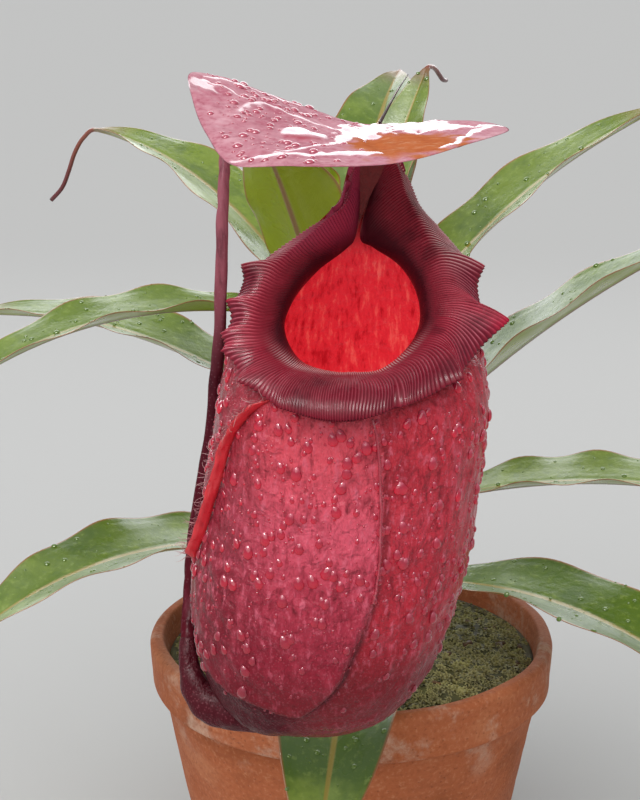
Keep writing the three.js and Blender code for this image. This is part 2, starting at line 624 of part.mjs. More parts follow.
const grownStem = toSolid(stem(CLEARANCE));
place(plant, 'pot', pot(), 'clay');
place(plant, 'growing_medium', growingMedium(grownStem), 'moss');
place(plant, 'stem', stem(), 'bark');
LEAVES.forEach((plan, i) => {
  place(plant, `leaf_${String(i + 1).padStart(2, '0')}`, leaf(plan, grownStem), 'leaf');
});
place(plant, 'leaf_bearer', bearerLeaf(grownStem), 'leaf');
place(plant, 'tendril', tendril(), 'vine');
place(pitcher, 'pitcher_body', pitcherBody(), 'cup');
place(pitcher, 'pitcher_collar', collar(), 'collar');
place(pitcher, 'pitcher_lid', lid(), 'lid');
place(pitcher, 'pitcher_spur', spur(), 'spur');
for (const [name, plan] of Object.entries(WINGS)) {
  place(pitcher, name, wing(plan), 'wing');
}

export default plant;
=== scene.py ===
"""A tropical pitcher plant in a plain clay pot.

Strap leaves grow on a short stem in moss. One large red pitcher hangs in front on its tendril,
wet with drops under its lid. Sizes are millimetres here, and become metres when a mesh is made.
The pitcher's shapes are measured from its own middle, PITCHER.
"""

import math
from functools import cached_property

import bpy
import numpy as np
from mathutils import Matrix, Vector


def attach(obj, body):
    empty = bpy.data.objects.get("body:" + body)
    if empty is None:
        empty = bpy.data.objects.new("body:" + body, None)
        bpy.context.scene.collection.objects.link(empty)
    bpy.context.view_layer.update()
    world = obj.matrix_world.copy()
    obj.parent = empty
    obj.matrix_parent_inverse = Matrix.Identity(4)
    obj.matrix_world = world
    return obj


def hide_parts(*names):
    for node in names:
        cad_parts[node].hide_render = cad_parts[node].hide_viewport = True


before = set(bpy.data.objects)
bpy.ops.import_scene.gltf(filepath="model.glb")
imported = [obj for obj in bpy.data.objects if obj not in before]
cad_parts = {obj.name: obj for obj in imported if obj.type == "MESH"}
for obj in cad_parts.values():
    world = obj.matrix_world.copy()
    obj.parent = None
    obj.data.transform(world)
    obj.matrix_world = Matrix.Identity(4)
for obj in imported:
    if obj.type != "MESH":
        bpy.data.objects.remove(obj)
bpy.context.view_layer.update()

MM = 0.001
UP = np.array([0.0, 0.0, 1.0])

# ---- sizes of the plant and its pot ----

POT = {
    "height": 150, "rim": 97, "top": 91, "foot": 68, "band": 24, "band_foot": 4,
    "wall": 5, "floor": 7, "edge": 2, "rounding": 1.6, "wobble": 0.25, "turning": 0.12,
    "around": 160, "step": 5,
}
DRAIN = {"count": 6, "radius": 5, "circle": 42, "sides": 28}
MOSS = {
    "edge": 138, "crown": 7, "bump": 1.6, "lump": 0.7, "sunk": 0.4, "gap": 0.3, "around": 120,
    "rings": 44, "wall_ring": 60,
}
STEM = {
    "foot": 84, "top": 326, "foot_radius": 8.5, "top_radius": 5.5, "slimmer": 0.3, "scars": 26,
    "scar": 0.5, "tip_share": 0.05,
}
STEM_LINE = [(0, 0, 84), (1.5, 1, 160), (-1, -1.5, 245), (0, 0, 326)]

# Leaves by number: height on the stem, turn round it from +X, angles at which the blade rises and
# ends, sideways swing, blade length, width, and the length of the tendril beyond the tip.
LEAVES = [
    (166, -92, 14, -40, -8, 190, 52, 50),
    (177, -30, 18, -34, -10, 205, 54, 60),
    (187, 205, 26, -30, 12, 200, 52, 45),
    (197, 108, 24, -38, -8, 200, 54, 50),
    (208, -16, 24, -16, 6, 200, 46, 55),
    (219, -2, 50, 28, -10, 205, 56, 50),
    (229, 62, 34, -26, 8, 205, 54, 50),
    (240, 170, 38, -8, -8, 200, 50, 60),
    (266, 24, 56, 24, -16, 200, 54, 45),
    (278, 140, 56, 8, 8, 190, 50, 50),
    (290, 84, 62, 18, -10, 180, 48, 50),
    (300, 196, 18, -30, 12, 185, 44, 60),
    (310, 50, 72, 46, 10, 120, 28, 30),
    (319, 220, 78, 60, -10, 85, 18, 20),
]
LEAF = {
    "fold": 0.3, "skew": 0.8, "stalk_share": 0.2, "stalk_end": 0.6, "stalk_half": 5,
    "tendril_radius": 1.1, "thickness": 0.9, "rows": 72, "tendril_rows": 22, "across": 15,
    "groove": 0.55, "groove_width": 1.1, "keel": 1.1, "keel_width": 1.3, "vein": 0.14,
    "vein_width": 0.5, "veins_at": (0.28, 0.5, 0.7, 0.86), "wave": 1.5,
}
BEARER_LINE = [
    (-0.5, -2, 250), (-4, -14, 278), (-11, -30, 306), (-20, -48, 338), (-28, -67, 366),
    (-35, -84, 388), (-41.5, -97, 402),
]
BEARER = {
    "width": 46, "skew": 1.4, "tip_radius": 1.7, "blade_share": 0.97, "tip_rows": 4, "seed": 40,
    "tone": 0.8,
}
TENDRIL_LINE = [
    (-41.7, -97.5, 402.5), (-43.6, -104.5, 407.6), (-45.2, -118, 411.2), (-46.8, -148, 410.5),
    (-47.4, -170, 403), (-47.6, -180, 392), (-48.5, -184, 370.5), (-50, -180, 339.5),
    (-52.4, -172, 316.5), (-54.4, -167, 298.5), (-57.8, -166, 279), (-61.4, -167, 256.5),
    (-63, -172, 235), (-63.3, -180.4, 223.8),
]
TENDRIL = {"top_radius": 1.7, "foot_radius": 2.8, "lumps": 0.16, "sides": 28, "rows": 330}

# ---- sizes of the pitcher ----

PITCHER = np.array([-3.4, -185.0, 300.0])
CUP = {
    "foot": -108, "wall": 2, "below_crest": 3.1, "shoulder": 8, "neck_from": 50, "neck_to": 85,
    "depth_share": 0.95, "squareness": 2.3, "lumps": 0.3, "small_lumps": 0.2, "around": 260,
    "outer_rows": 170, "inner_rows": 60,
}
# Half the cup's width, and how far its middle lies to the side, each with its height.
CUP_PROFILE = [
    (0, -108), (16, -106), (29, -99), (38, -87), (43.5, -72), (46.5, -56), (48, -38), (47.6, -15),
    (46.8, 15), (46.8, 45),
]
CUP_AXIS = [(-15, -108), (-10, -60), (-4.5, -20), (0, 18), (0, 45), (0, 110)]
# Right and lower border of the raised front panel, seen from the front.
PANEL_BORDER = [
    (7, 24), (8.5, 5), (8.8, -14), (8, -28), (5.5, -41), (2.5, -51), (-1, -61), (-5, -71),
    (-11.5, -80.5), (-19, -86), (-28, -84.5), (-36, -82), (-42, -79.5), (-47, -76.5), (-51, -71),
    (-53, -62),
]
PANEL = {
    "lift": 0.8, "foot_lift": 3.4, "corner_share": 0.55, "seam_height": 0.55, "seam_width": 0.6,
    "crease_at": -1.3, "crease_width": 1.1,
}
# The share of the cup's rows, at its foot, over which their spacing grows from nothing.
POLE_SHARE = 0.18

# Stations round the mouth, from the front past the right side to the neck and back on the left:
# the inner edge, the collar's crest, its outer edge, and the cup's direction in degrees.
MOUTH = np.array([
    (-2, -27, 28, -1.5, -41, 32.5, -2.5, -54, 22, 0),
    (9.5, -23, 29.5, 10, -36, 33, 12.5, -49, 25, 38),
    (19, -10, 35.5, 22.5, -24, 38.5, 27, -38, 28.5, 66),
    (22.5, 1, 42.5, 30.5, -9, 47, 41.5, -14, 37, 90),
    (21.5, 12, 50.5, 29.5, 4, 57.5, 42.5, 4, 49, 107),
    (16, 22, 58, 25.5, 14, 67, 39, 12, 60.5, 121),
    (7, 30, 63, 21, 23, 76.5, 30, 20, 71, 136),
    (2.6, 34, 66, 17.5, 28, 84, 23.5, 27, 78, 150),
    (5.5, 36, 80, 15, 32, 92.5, 18.5, 31, 88.5, 165),
    (7.2, 36, 94, 8, 32, 102.6, 8, 27, 102, 180),
    (3, 36, 81, 1, 32, 92.5, -1, 31, 88.5, 194),
    (1, 34, 66.5, -2.5, 28, 80.5, -4.5, 27.5, 77, 208),
    (-3, 30, 62, -11, 22, 72.5, -16, 20.5, 71, 223),
    (-12.5, 22, 56, -25, 10, 61.5, -34.5, 12, 58, 240),
    (-21, 12, 47.5, -32.5, -3, 49.5, -40.5, 2, 47.5, 258),
    (-24, 0, 40, -33.5, -14, 38, -42, -12, 35, 276),
    (-19.5, -13, 32.5, -25, -28, 32.5, -32, -34, 26.5, 300),
    (-11, -22, 28.5, -14, -37, 32, -17, -49, 22.5, 330),
])
# A place that the collar's upper face looks towards all the way round.
COLLAR_FACES = np.array([0, -75, 112])
# Teeth and scallops of the collar's outer edge: share of the way round, reach and width. The one
# that reaches inwards is a notch.
TEETH = [
    (0.208, 9.3, 0.013), (0.13, 5.2, 0.011), (0.285, 5, 0.01), (0.055, 2, 0.009), (0.71, 4.5, 0.01),
    (0.775, 4, 0.009), (0.815, 3, 0.008), (0.835, 3, 0.008), (0.88, 4, 0.009), (0.93, 1.5, 0.008),
    (0.046, -2.2, 0.006),
]
COLLAR = {
    "thickness": 2.4, "ribs": 250, "per_rib": 6, "across": 30, "rib": 0.36, "edge_rib": 0.5,
    "tooth_lift": 0.35, "tooth_fall": 1.05, "tooth_point": 1.35, "round": 0.55, "lean": 0.62,
    "lean_width": 2.4, "tooth_shade": (0.008, -0.005),
}
# Where the collar's ribs are finer: share of the way round, how much finer, and over what width.
FINER_RIBS = [(0.975, 0.9, 0.06), (0.208, 0.4, 0.06), (0.47, 0.7, 0.1)]
LID_EDGE = [
    (8, 37, 0), (24, 33, 0), (41, 22, 0), (51, 2, 0), (43, -22, 0), (27, -44, 0), (8, -57, 0),
    (-10, -61, 0), (-27, -57, 0), (-40, -44, 0), (-48, -22, 0), (-54, 2, 0), (-57, 24, 0),
    (-50, 36, 0), (-31, 37, 0), (-8, 34, 0),
]
LID = {
    "middle": (0, -8, 0), "level": 104, "thickness": 1.8, "around": 320, "rings": 80, "lobe": 21.5,
    "lobe_from": 6, "lobe_width": 62, "right_rise": 3.5, "back_rise": 1.6, "left_drop": 3,
    "front_drop": 1.5, "tip_drop": 2, "keel": 1.3, "hollow": 0.5, "ripples": 0.32,
    "small_ripples": 0.16, "film": 0.25,
}
# Wet film on the lid: places seen from above, and half the film's width there.
LID_FILM = [
    [(-55, 13, 2), (-54, 18, 3), (-51, 15, 3), (-47.5, 12, 1)],
    [(-52, 22, 0.6), (-47.5, 18.5, 0.9), (-42, 14.5, 0.8), (-36, 11.5, 0.5)],
    [(-51.5, 25.5, 0.6), (-45, 28.5, 0.8), (-36, 29, 0.7), (-27.5, 30, 0.7), (-19, 29.5, 0.7)],
    [(-38.5, -2, 0.4), (-36.5, 5, 0.8), (-34, 9, 1), (-30, 12, 1), (-26.5, 11, 1), (-22.5, 9, 0.9),
     (-18.5, 8, 0.9), (-14.5, 6.5, 0.8), (-10, 5.5, 0.6), (-7, 2, 0.4)],
    [(-39, -44, 0.6), (-33.5, -44.5, 1.2), (-25.5, -46, 1.6), (-18, -45.5, 1.8), (-10.5, -44.5, 2.2),
     (-2.5, -43.5, 2.4), (6, -43, 1.4)],
    [(-25.5, -42.5, 0.5), (-19.5, -39, 1), (-13.5, -33, 1.2), (-7, -22, 1.6), (-3.5, -10.5, 2.4)],
    [(-4, -10, 2), (3, 5, 8), (12, 20, 11), (20, 17, 10.5), (28, 10, 7), (38, 4.5, 4.5), (46, 6, 3),
     (50, 9, 1.5)],
    [(26, -39.5, 0.8), (30.5, -31.5, 1), (36, -15.5, 1.4), (41, -4, 1.4), (46.5, 3, 1)],
]
WARM_PATCH = {"x": 15, "y": -23, "half_length": 21, "half_width": 27.5}
PUDDLE = {"x": -17, "y": -16, "half_length": 8, "half_width": 9, "height": 0.9}
SPUR_LINE = [
    (9.3, 33, 106.9), (10.5, 35.3, 108.8), (13, 38.5, 113), (16, 41, 118), (19.5, 42.5, 123),
]
HORN_LINE = [
    (-59.9, 4.2, -76.7), (-59.8, 0.4, -82), (-57.5, -4, -90.5), (-53, -7, -96.2),
    (-47, -9, -98), (-37, -11, -97.4), (-24.4, -11, -95.5),
]
HORN_RADII = [2.8, 3.7, 5.4, 6.8, 7.6, 8.4, 9.4]
HORN = {"lumps": 0.25, "sides": 40, "rows": 80}
# Wings by name: places on the cup as (station, height), how far the wing stands out, and its hairs'
# spacing, shortest and longest length, sway and random seed.
WINGS = {
    "wing_left": {
        "line": [(16.62, 23.5), (16.42, 17), (16.2, 6), (16.08, -8), (15.85, -25), (15.55, -38)],
        "reach": 4.3, "spacing": 0.75, "hairs": (1.8, 5.0), "sway": 0.7, "seed": 3,
    },
    "wing_right": {
        "line": [(0.18, 20), (0.24, 10), (0.34, -10), (0.41, -32), (0.4, -44)],
        "reach": 1.2, "spacing": 0.9, "hairs": (0.6, 1.8), "sway": 0.6, "seed": 4,
    },
}
# A wing's section all the way round, as (share of its half thickness, share of its height).
WING_SECTION = [
    (-1, 0), (1, 0), (1, 0.3), (0.9, 0.62), (0.85, 0.9), (0.4, 1), (-0.4, 1), (-0.85, 0.9),
    (-0.9, 0.62), (-1, 0.3),
]
# A short step along a curve or over a skin, to find its direction there.
NEARBY = 0.004


# ---- curves and bumps ----

def smooth(start, end, value):
    share = np.clip((np.asarray(value, float) - start) / (end - start), 0, 1)
    return share * share * (3 - 2 * share)


def mix(first, second, share):
    return first + (second - first) * share


def dot(first, second):
    return np.sum(first * second, axis=-1, keepdims=True)


def unit(vectors):
    return vectors / np.maximum(np.sqrt(dot(vectors, vectors)), 1e-9)


def bell(distance, width):
    """1 in the middle, falling to near 0 at twice the width."""
    return np.exp(-(distance / width) ** 2)


def round_offset(share, at):
    """How far one share of the way round lies from another, between -0.5 and 0.5."""
    return (share - at + 0.5) % 1 - 0.5


def unit_circle(count):
    """Points of a level circle with radius 1 round the origin."""
    angle = np.linspace(0, 2 * math.pi, count, endpoint=False)
    return np.stack([np.cos(angle), np.sin(angle), 0 * angle], -1)


def spline(points, share, closed=False):
    """Places on a smooth curve through the points, with share counted from point to point."""
    points = np.asarray(points, float)
    place = np.asarray(share, float) * (len(points) if closed else len(points) - 1)
    index = np.floor(place).astype(int)
    if closed:
        steps = [points[(index + k) % len(points)] for k in (-1, 0, 1, 2)]
    else:
        index = np.clip(index, 0, len(points) - 2)
        ends = np.vstack([2 * points[0] - points[1], points, 2 * points[-1] - points[-2]])
        steps = [ends[index + k] for k in (0, 1, 2, 3)]
    a, b, c, d = steps
    w = (place - index)[..., None]
    return b + 0.5 * w * ((c - a) + w * ((2 * a - 5 * b + 4 * c - d) + w * (3 * b - a - 3 * c + d)))


def spline_by_length(points, share, closed=False):
    """Places on the same curve, with share counted along its length."""
    steps = np.linspace(0, 1, 1201)
    line = spline(points, steps, closed)
    lengths = np.append(0, np.cumsum(np.linalg.norm(np.diff(line, axis=0), axis=1)))
    return np.interp(share, lengths / lengths[-1], steps)


def waves(points, size, seed):
    """Soft bumps between about -1 and 1, size millimetres apart."""
    random = np.random.default_rng(seed)
    total = np.zeros(points.shape[:-1])
    count = 9
    for _ in range(count):
        way = unit(random.normal(size=3)) * random.uniform(0.7, 1.5)
        total += np.sin(points @ way * (2 * math.pi / size) + random.uniform(0, 2 * math.pi))
    return total / math.sqrt(count)


# ---- meshes ----

def closed_skin(rows, ring=False):
    """Vertices and faces of a closed surface made of rows that each close on themselves.

    A ring's last row meets its first. Any other surface gets a point at each end. The values
    beyond x, y and z are the vertex's marks. Faces point outwards.
    """
    count, around, size = rows.shape
    points = rows.reshape(-1, size)
    column = np.arange(around)
    beside = (column + 1) % around
    quads = []
    for row in range(count if ring else count - 1):
        here, above = row * around, (row + 1) % count * around
        quads.append(np.stack([here + column, here + beside, above + beside, above + column], 1))
    quads = np.concatenate(quads)
    fans = np.zeros((0, 3), int)
    if not ring:
        first, last = len(points), len(points) + 1
        top = (count - 1) * around
        points = np.vstack([points, rows[0].mean(0), rows[-1].mean(0)])
        fans = np.vstack([
            np.stack([first + 0 * column, beside, column], 1),
            np.stack([last + 0 * column, top + column, top + beside], 1),
        ])
    corners = np.vstack([quads[:, [0, 1, 2]], quads[:, [0, 2, 3]], fans])
    a, b, c = (points[corners[:, k], :3] for k in range(3))
    if np.sum(a * np.cross(b, c)) < 0:
        quads, fans = quads[:, ::-1], fans[:, ::-1]
    return points, quads.tolist() + fans.tolist()


def joined(*skins):
    """Several closed skins as one list of points and one of faces."""
    points, faces, first = [], [], 0
    for skin_points, skin_faces in skins:
        points.append(skin_points)
        faces += [[corner + first for corner in face] for face in skin_faces]
        first += len(skin_points)
    return np.vstack(points), faces


def put_in_scene(name, data):
    thing = bpy.data.objects.new(name, data)
    bpy.context.scene.collection.objects.link(thing)
    return thing


def make_piece(name, skin, material, marks=()):
    """A mesh object from points in millimetres, their marks and faces."""
    points, faces = skin
    mesh = bpy.data.meshes.new(name)
    mesh.from_pydata((points[:, :3] * MM).tolist(), [], faces)
    for index, mark in enumerate(marks):
        layer = mesh.attributes.new(mark, "FLOAT", "POINT")
        layer.data.foreach_set("value", points[:, 3 + index].astype(np.float32))
    mesh.shade_smooth()
    mesh.materials.append(material)
    return put_in_scene(name, mesh)


def make_plain(thing):
    """Turns what an object's modifiers make into its own plain mesh, and removes them."""
    thing.update_tag()
    bpy.context.view_layer.update()
    depsgraph = bpy.context.evaluated_depsgraph_get()
    mesh = bpy.data.meshes.new_from_object(thing.evaluated_get(depsgraph), depsgraph=depsgraph)
    thing.modifiers.clear()
    thing.data = mesh
    return mesh


def add_to_plant(piece, node):
    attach(piece, "root")
    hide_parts(node)


def with_marks(points, *marks):
    """The points with marks behind their coordinates."""
    spread = [np.broadcast_to(mark, points.shape[:-1])[..., None] for mark in marks]
    return np.concatenate([points, *spread], axis=-1)


def tube_rows(points, radius, sides, rows):
    """Rows of a round tube along a curve, marked with their share of its length.

    radius gives the tube's radius at each share.
    """
    share = np.linspace(0, 1, rows)
    centre = spline(points, spline_by_length(points, share))
    heading = unit(np.gradient(centre, axis=0))
    level = abs(heading[0][2]) < 0.9
    side = unit(np.cross(heading[0], UP if level else np.array([1.0, 0, 0])))
    sides_at = []
    for way in heading:
        side = unit(side - way * np.dot(side, way))
        sides_at.append(side)
    side = np.array(sides_at)
    lift = np.cross(heading, side)
    angle = np.linspace(0, 2 * math.pi, sides, endpoint=False)[:, None]
    ring = np.cos(angle) * side[:, None] + np.sin(angle) * lift[:, None]
    reach = np.asarray(radius(share), float)[:, None, None] * ring
    return with_marks(centre[:, None] + reach, share[:, None])


def swollen(rows, amount):
    """A tube's rows, moved out from its middle line by an amount at each point."""
    centre = rows.mean(1, keepdims=True)
    return rows + unit(rows - centre) * amount[..., None]


# ---- node trees ----

BLACK = (0, 0, 0, 1)


def tint(code):
    """A colour from its six-digit code."""
    parts = [int(code[k:k + 2], 16) / 255 for k in (0, 2, 4)]
    return tuple(p / 12.92 if p <= 0.04045 else ((p + 0.055) / 1.055) ** 2.4 for p in parts) + (1.0,)


class Nodes:
    """A node tree in the making. An input is a plain value or another node's output."""

    def __init__(self, tree):
        self.tree = tree

    def feed(self, socket, value):
        if isinstance(value, bpy.types.NodeSocket):
            self.tree.links.new(value, socket)
        else:
            socket.default_value = value

    def add(self, kind, inputs=None, **settings):
        node = self.tree.nodes.new(kind)
        for name, value in settings.items():
            setattr(node, name, value)
        for key, value in (inputs or {}).items():
            self.feed(node.inputs[key], value)
        return node

    def math(self, operation, first, second=0.0, third=0.0):
        inputs = {0: first, 1: second, 2: third}
        return self.add("ShaderNodeMath", inputs, operation=operation).outputs[0]

    def times(self, product, *others):
        for value in others:
            product = self.math("MULTIPLY", product, value)
        return product

    def plus(self, first, second):
        return self.math("ADD", first, second)

    def rest(self, share):
        """What a share leaves of 1."""
        return self.math("SUBTRACT", 1.0, share)

    def between(self, value, low, high, new_low=0.0, new_high=1.0):
        """The value's place between low and high, smoothly, as a number from new_low to new_high."""
        inputs = {
            "Value": value, "From Min": low, "From Max": high, "To Min": new_low, "To Max": new_high,
        }
        node = self.add("ShaderNodeMapRange", inputs, interpolation_type="SMOOTHSTEP")
        return node.outputs["Result"]

    def blend(self, factor, first, second):
        node = self.add("ShaderNodeMix", data_type="RGBA", blend_type="MIX")
        for key, value in {"Factor": factor, "A": first, "B": second}.items():
            self.feed([s for s in node.inputs if s.name == key and s.enabled][0], value)
        return [s for s in node.outputs if s.enabled][0]

    def cover(self, colour, code, where, amount=1.0):
        """The colour with a tint laid over it, as far as the mask and the amount say."""
        factor = where if amount == 1.0 else self.times(where, amount)
        return self.blend(factor, colour, tint(code))

    def ramp(self, factor, stops):
        """A colour that changes with factor. Stops are (place, colour code)."""
        node = self.add("ShaderNodeValToRGB", {"Fac": factor})
        elements = node.color_ramp.elements
        for index, (place, code) in enumerate(stops):
            element = elements[index] if index < 2 else elements.new(place)
            element.position, element.color = place, tint(code)
        return node.outputs["Color"]

    def noise(self, place, scale, detail, roughness=0.5, distortion=0.0):
        inputs = {
            "Vector": place, "Scale": scale, "Detail": detail, "Roughness": roughness,
            "Distortion": distortion,
        }
        return self.add("ShaderNodeTexNoise", inputs).outputs["Fac"]


COLOR, FLOAT, VECTOR = "NodeSocketColor", "NodeSocketFloat", "NodeSocketVector"
GEOMETRY, OBJECT, MATERIAL = "NodeSocketGeometry", "NodeSocketObject", "NodeSocketMaterial"
WHOLE = "NodeSocketInt"


def new_group(name, kind, inputs, outputs):
    """An empty node group with its named inputs and outputs."""
    tree = bpy.data.node_groups.new(name, kind)
    for label, socket, value in inputs:
        item = tree.interface.new_socket(name=label, in_out="INPUT", socket_type=socket)
        if value is not None:
            item.default_value = value
    for label, socket in outputs:
        tree.interface.new_socket(name=label, in_out="OUTPUT", socket_type=socket)
    nodes = Nodes(tree)
    given = nodes.add("NodeGroupInput").outputs
    result = nodes.add("NodeGroupOutput").inputs
    return nodes, given, result


def patches_effect():
    """Soft patches: a colour that drifts towards a darker and a lighter one, and its height."""
    nodes, given, result = new_group(
        "patches", "ShaderNodeTree",
        [("Place", VECTOR, None), ("Colour", COLOR, None), ("Dark", COLOR, None),
         ("Light", COLOR, None), ("Scale", FLOAT, 100.0), ("Length", FLOAT, 1.0),
         ("Amount", FLOAT, 1.0)],
        [("Colour", COLOR), ("Height", FLOAT)])
    shorter = nodes.math("DIVIDE", 1.0, given["Length"])
    squeeze = nodes.add("ShaderNodeCombineXYZ", {"X": 1.0, "Y": 1.0, "Z": shorter}).outputs[0]
    squeezed = {0: given["Place"], 1: squeeze}
    place = nodes.add("ShaderNodeVectorMath", squeezed, operation="MULTIPLY").outputs[0]
    value = nodes.noise(place, given["Scale"], 4.0, 0.62)
    dark = nodes.times(nodes.between(value, 0.5, 0.3), given["Amount"])
    light = nodes.times(nodes.between(value, 0.52, 0.72), given["Amount"])
    colour = nodes.blend(dark, given["Colour"], given["Dark"])
    colour = nodes.blend(light, colour, given["Light"])
    nodes.feed(result["Colour"], colour)
    nodes.feed(result["Height"], value)
    return nodes.tree


def speckle_effect():
    """Small dots scattered over a surface, as a mask."""
    nodes, given, result = new_group(
        "speckle", "ShaderNodeTree",
        [("Place", VECTOR, None), ("Scale", FLOAT, 400.0), ("Size", FLOAT, 0.3)],
        [("Mask", FLOAT)])
    cells = nodes.add("ShaderNodeTexVoronoi", {
        "Vector": given["Place"], "Scale": given["Scale"], "Randomness": 1.0})
    edge = nodes.times(given["Size"], 0.6)
    nodes.feed(result["Mask"], nodes.between(cells.outputs["Distance"], given["Size"], edge))
    return nodes.tree


def wet_effect():
    """Roughness that changes between wet and dry patches."""
    nodes, given, result = new_group(
        "wet and dry", "ShaderNodeTree",
        [("Place", VECTOR, None), ("Scale", FLOAT, 60.0), ("Wet", FLOAT, 0.1), ("Dry", FLOAT, 0.5)],
        [("Roughness", FLOAT)])
    value = nodes.noise(given["Place"], given["Scale"], 3.0, 0.55)
    nodes.feed(result["Roughness"], nodes.between(value, 0.36, 0.64, given["Wet"], given["Dry"]))
    return nodes.tree


PATCHES = patches_effect()
SPECKLE = speckle_effect()
WET = wet_effect()
SHADER_SOCKETS = {
    "colour": "Base Color", "roughness": "Roughness", "specular": "Specular IOR Level",
    "coat": "Coat Weight", "coat_roughness": "Coat Roughness", "coat_ior": "Coat IOR",
    "sheen": "Sheen Weight", "glow": "Emission Strength", "glow_colour": "Emission Color",
    "normal": "Normal",
}


class Finish(Nodes):
    """A material in the making, with one Principled shader. Plain values go on its own sockets."""

    def __init__(self, name, **plain):
        self.material = bpy.data.materials.new(name)
        self.material.use_nodes = True
        super().__init__(self.material.node_tree)
        for label, value in plain.items():
            self.give(label, value)

    def give(self, label, value):
        """Sets a socket of the shader."""
        shader = self.tree.nodes["Principled BSDF"]
        self.feed(shader.inputs[SHADER_SOCKETS[label]], value)

    @cached_property
    def place(self):
        return self.add("ShaderNodeTexCoord").outputs["Object"]

    @cached_property
    def axes(self):
        return self.add("ShaderNodeSeparateXYZ", {0: self.place}).outputs

    def mark(self, name):
        return self.add("ShaderNodeAttribute", attribute_name=name).outputs["Fac"]

    def patches(self, colour, dark, light, scale, length=1.0, amount=1.0):
        """Soft patches over a colour: the colour that results, and a height."""
        inputs = {
            "Place": self.place, "Colour": colour, "Dark": tint(dark), "Light": tint(light),
            "Scale": scale, "Length": length, "Amount": amount,
        }
        return self.add("ShaderNodeGroup", inputs, node_tree=PATCHES).outputs

    def dots(self, scale, size):
        """A mask of small scattered dots."""
        inputs = {"Place": self.place, "Scale": scale, "Size": size}
        return self.add("ShaderNodeGroup", inputs, node_tree=SPECKLE).outputs["Mask"]

    def wet_and_dry(self, scale, wet, dry):
        """Gives the shader a roughness that changes between wet and dry patches."""
        inputs = {"Place": self.place, "Scale": scale, "Wet": wet, "Dry": dry}
        node = self.add("ShaderNodeGroup", inputs, node_tree=WET)
        self.give("roughness", node.outputs["Roughness"])

    def relief(self, height, distance):
        """Gives the shader small relief. The distance is in millimetres."""
        inputs = {"Height": height, "Distance": distance * MM, "Strength": 1.0}
        self.give("normal", self.add("ShaderNodeBump", inputs).outputs["Normal"])


# ---- materials ----

def flesh_colour(finish):
    """The cup's outside, and how patchy it is.

    It is pink on the panel, red beside it and darker on the left. The darkening towards the foot is
    painted shade for light from above, and the dark line along the panel's crease is painted shade.
    """
    low, high = (PITCHER[2] + CUP["foot"]) * MM, (PITCHER[2] + 40) * MM
    rise = finish.between(finish.axes["Z"], low, high)
    # Painted shade: the colours darken towards the foot as if lit from above.
    base = finish.ramp(rise, [
        (0.0, "4c1a1a"), (0.06, "761e26"), (0.2, "942034"), (0.42, "b4344a"), (0.66, "de566c"),
        (0.86, "e05060"), (1.0, "d84654")])
    panel = finish.mark("panel")
    beside = finish.between(panel, 0.6, 0.1)
    base = finish.cover(base, "be2636", beside, 0.85)
    # Painted shade: the low part beside the panel is darkened further.
    low = finish.times(finish.between(rise, 0.32, 0.08), beside)
    base = finish.cover(base, "681a22", low, 0.8)
    base = finish.cover(base, "6c1022", finish.between(finish.axes["X"], -0.022, -0.05), 0.7)
    # Painted shade: a dark line along the crease outside the panel's border.
    base = finish.cover(base, "35101a", finish.mark("crease_shade"), 0.75)
    low_left = finish.times(low, finish.between(finish.axes["X"], -0.012, -0.034))
    horn = finish.math("MAXIMUM", finish.between(panel, -0.3, -0.8), low_left)
    patchy = finish.times(finish.rest(horn), finish.between(rise, 0.05, 0.4, 0.4, 1.0))
    return finish.cover(base, "50141f", horn), patchy


def cup_material():
    """Patchy flesh outside; red streaks inside, with a painted glow below the neck for light through
    the wall.
    """
    # glow is the strength of a painted glow on the inside: emission with no lamp behind it.
    finish = Finish("pitcher flesh", coat_roughness=0.12, specular=0.1, glow=0.47)
    base, patchy = flesh_colour(finish)
    large = finish.patches(base, "84182a", "c84a5e", 150.0, 2.2, finish.times(patchy, 0.45))
    # The small patches are the flesh's mottling; their pale pink strokes are also painted highlights
    # on wet wrinkles.
    small = finish.patches(large["Colour"], "780e20", "e26c82", 480.0, 2.6, finish.times(patchy, 0.65))
    outer = finish.cover(small["Colour"], "d87c88", finish.dots(900.0, 0.34), 0.13)
    streaks = finish.patches(tint("d02e3a"), "aa1622", "e25e58", 400.0, 3.5)["Colour"]
    inside = finish.mark("inside")
    shade = finish.between(finish.axes["Z"], 0.357, 0.374)
    finish.give("colour", finish.blend(inside, outer, finish.cover(streaks, "862c2b", shade)))
    # Painted glow: below the darker shade band at the neck, the inside emits light in its streaks'
    # colour.
    painted_glow_mask = finish.times(inside, finish.rest(shade))
    finish.give("glow_colour", finish.blend(painted_glow_mask, BLACK, streaks))
    finish.wet_and_dry(90.0, 0.22, 0.5)
    finish.give("coat", finish.between(patchy, 0.0, 1.0, 0.03, 0.35))
    wrinkles = finish.noise(finish.place, 240.0, 2.0, distortion=0.6)
    height = finish.plus(finish.times(small["Height"], 0.7), large["Height"])
    height = finish.plus(height, finish.times(patchy, 1.4, wrinkles))
    finish.relief(height, 1.5)
    return finish.material


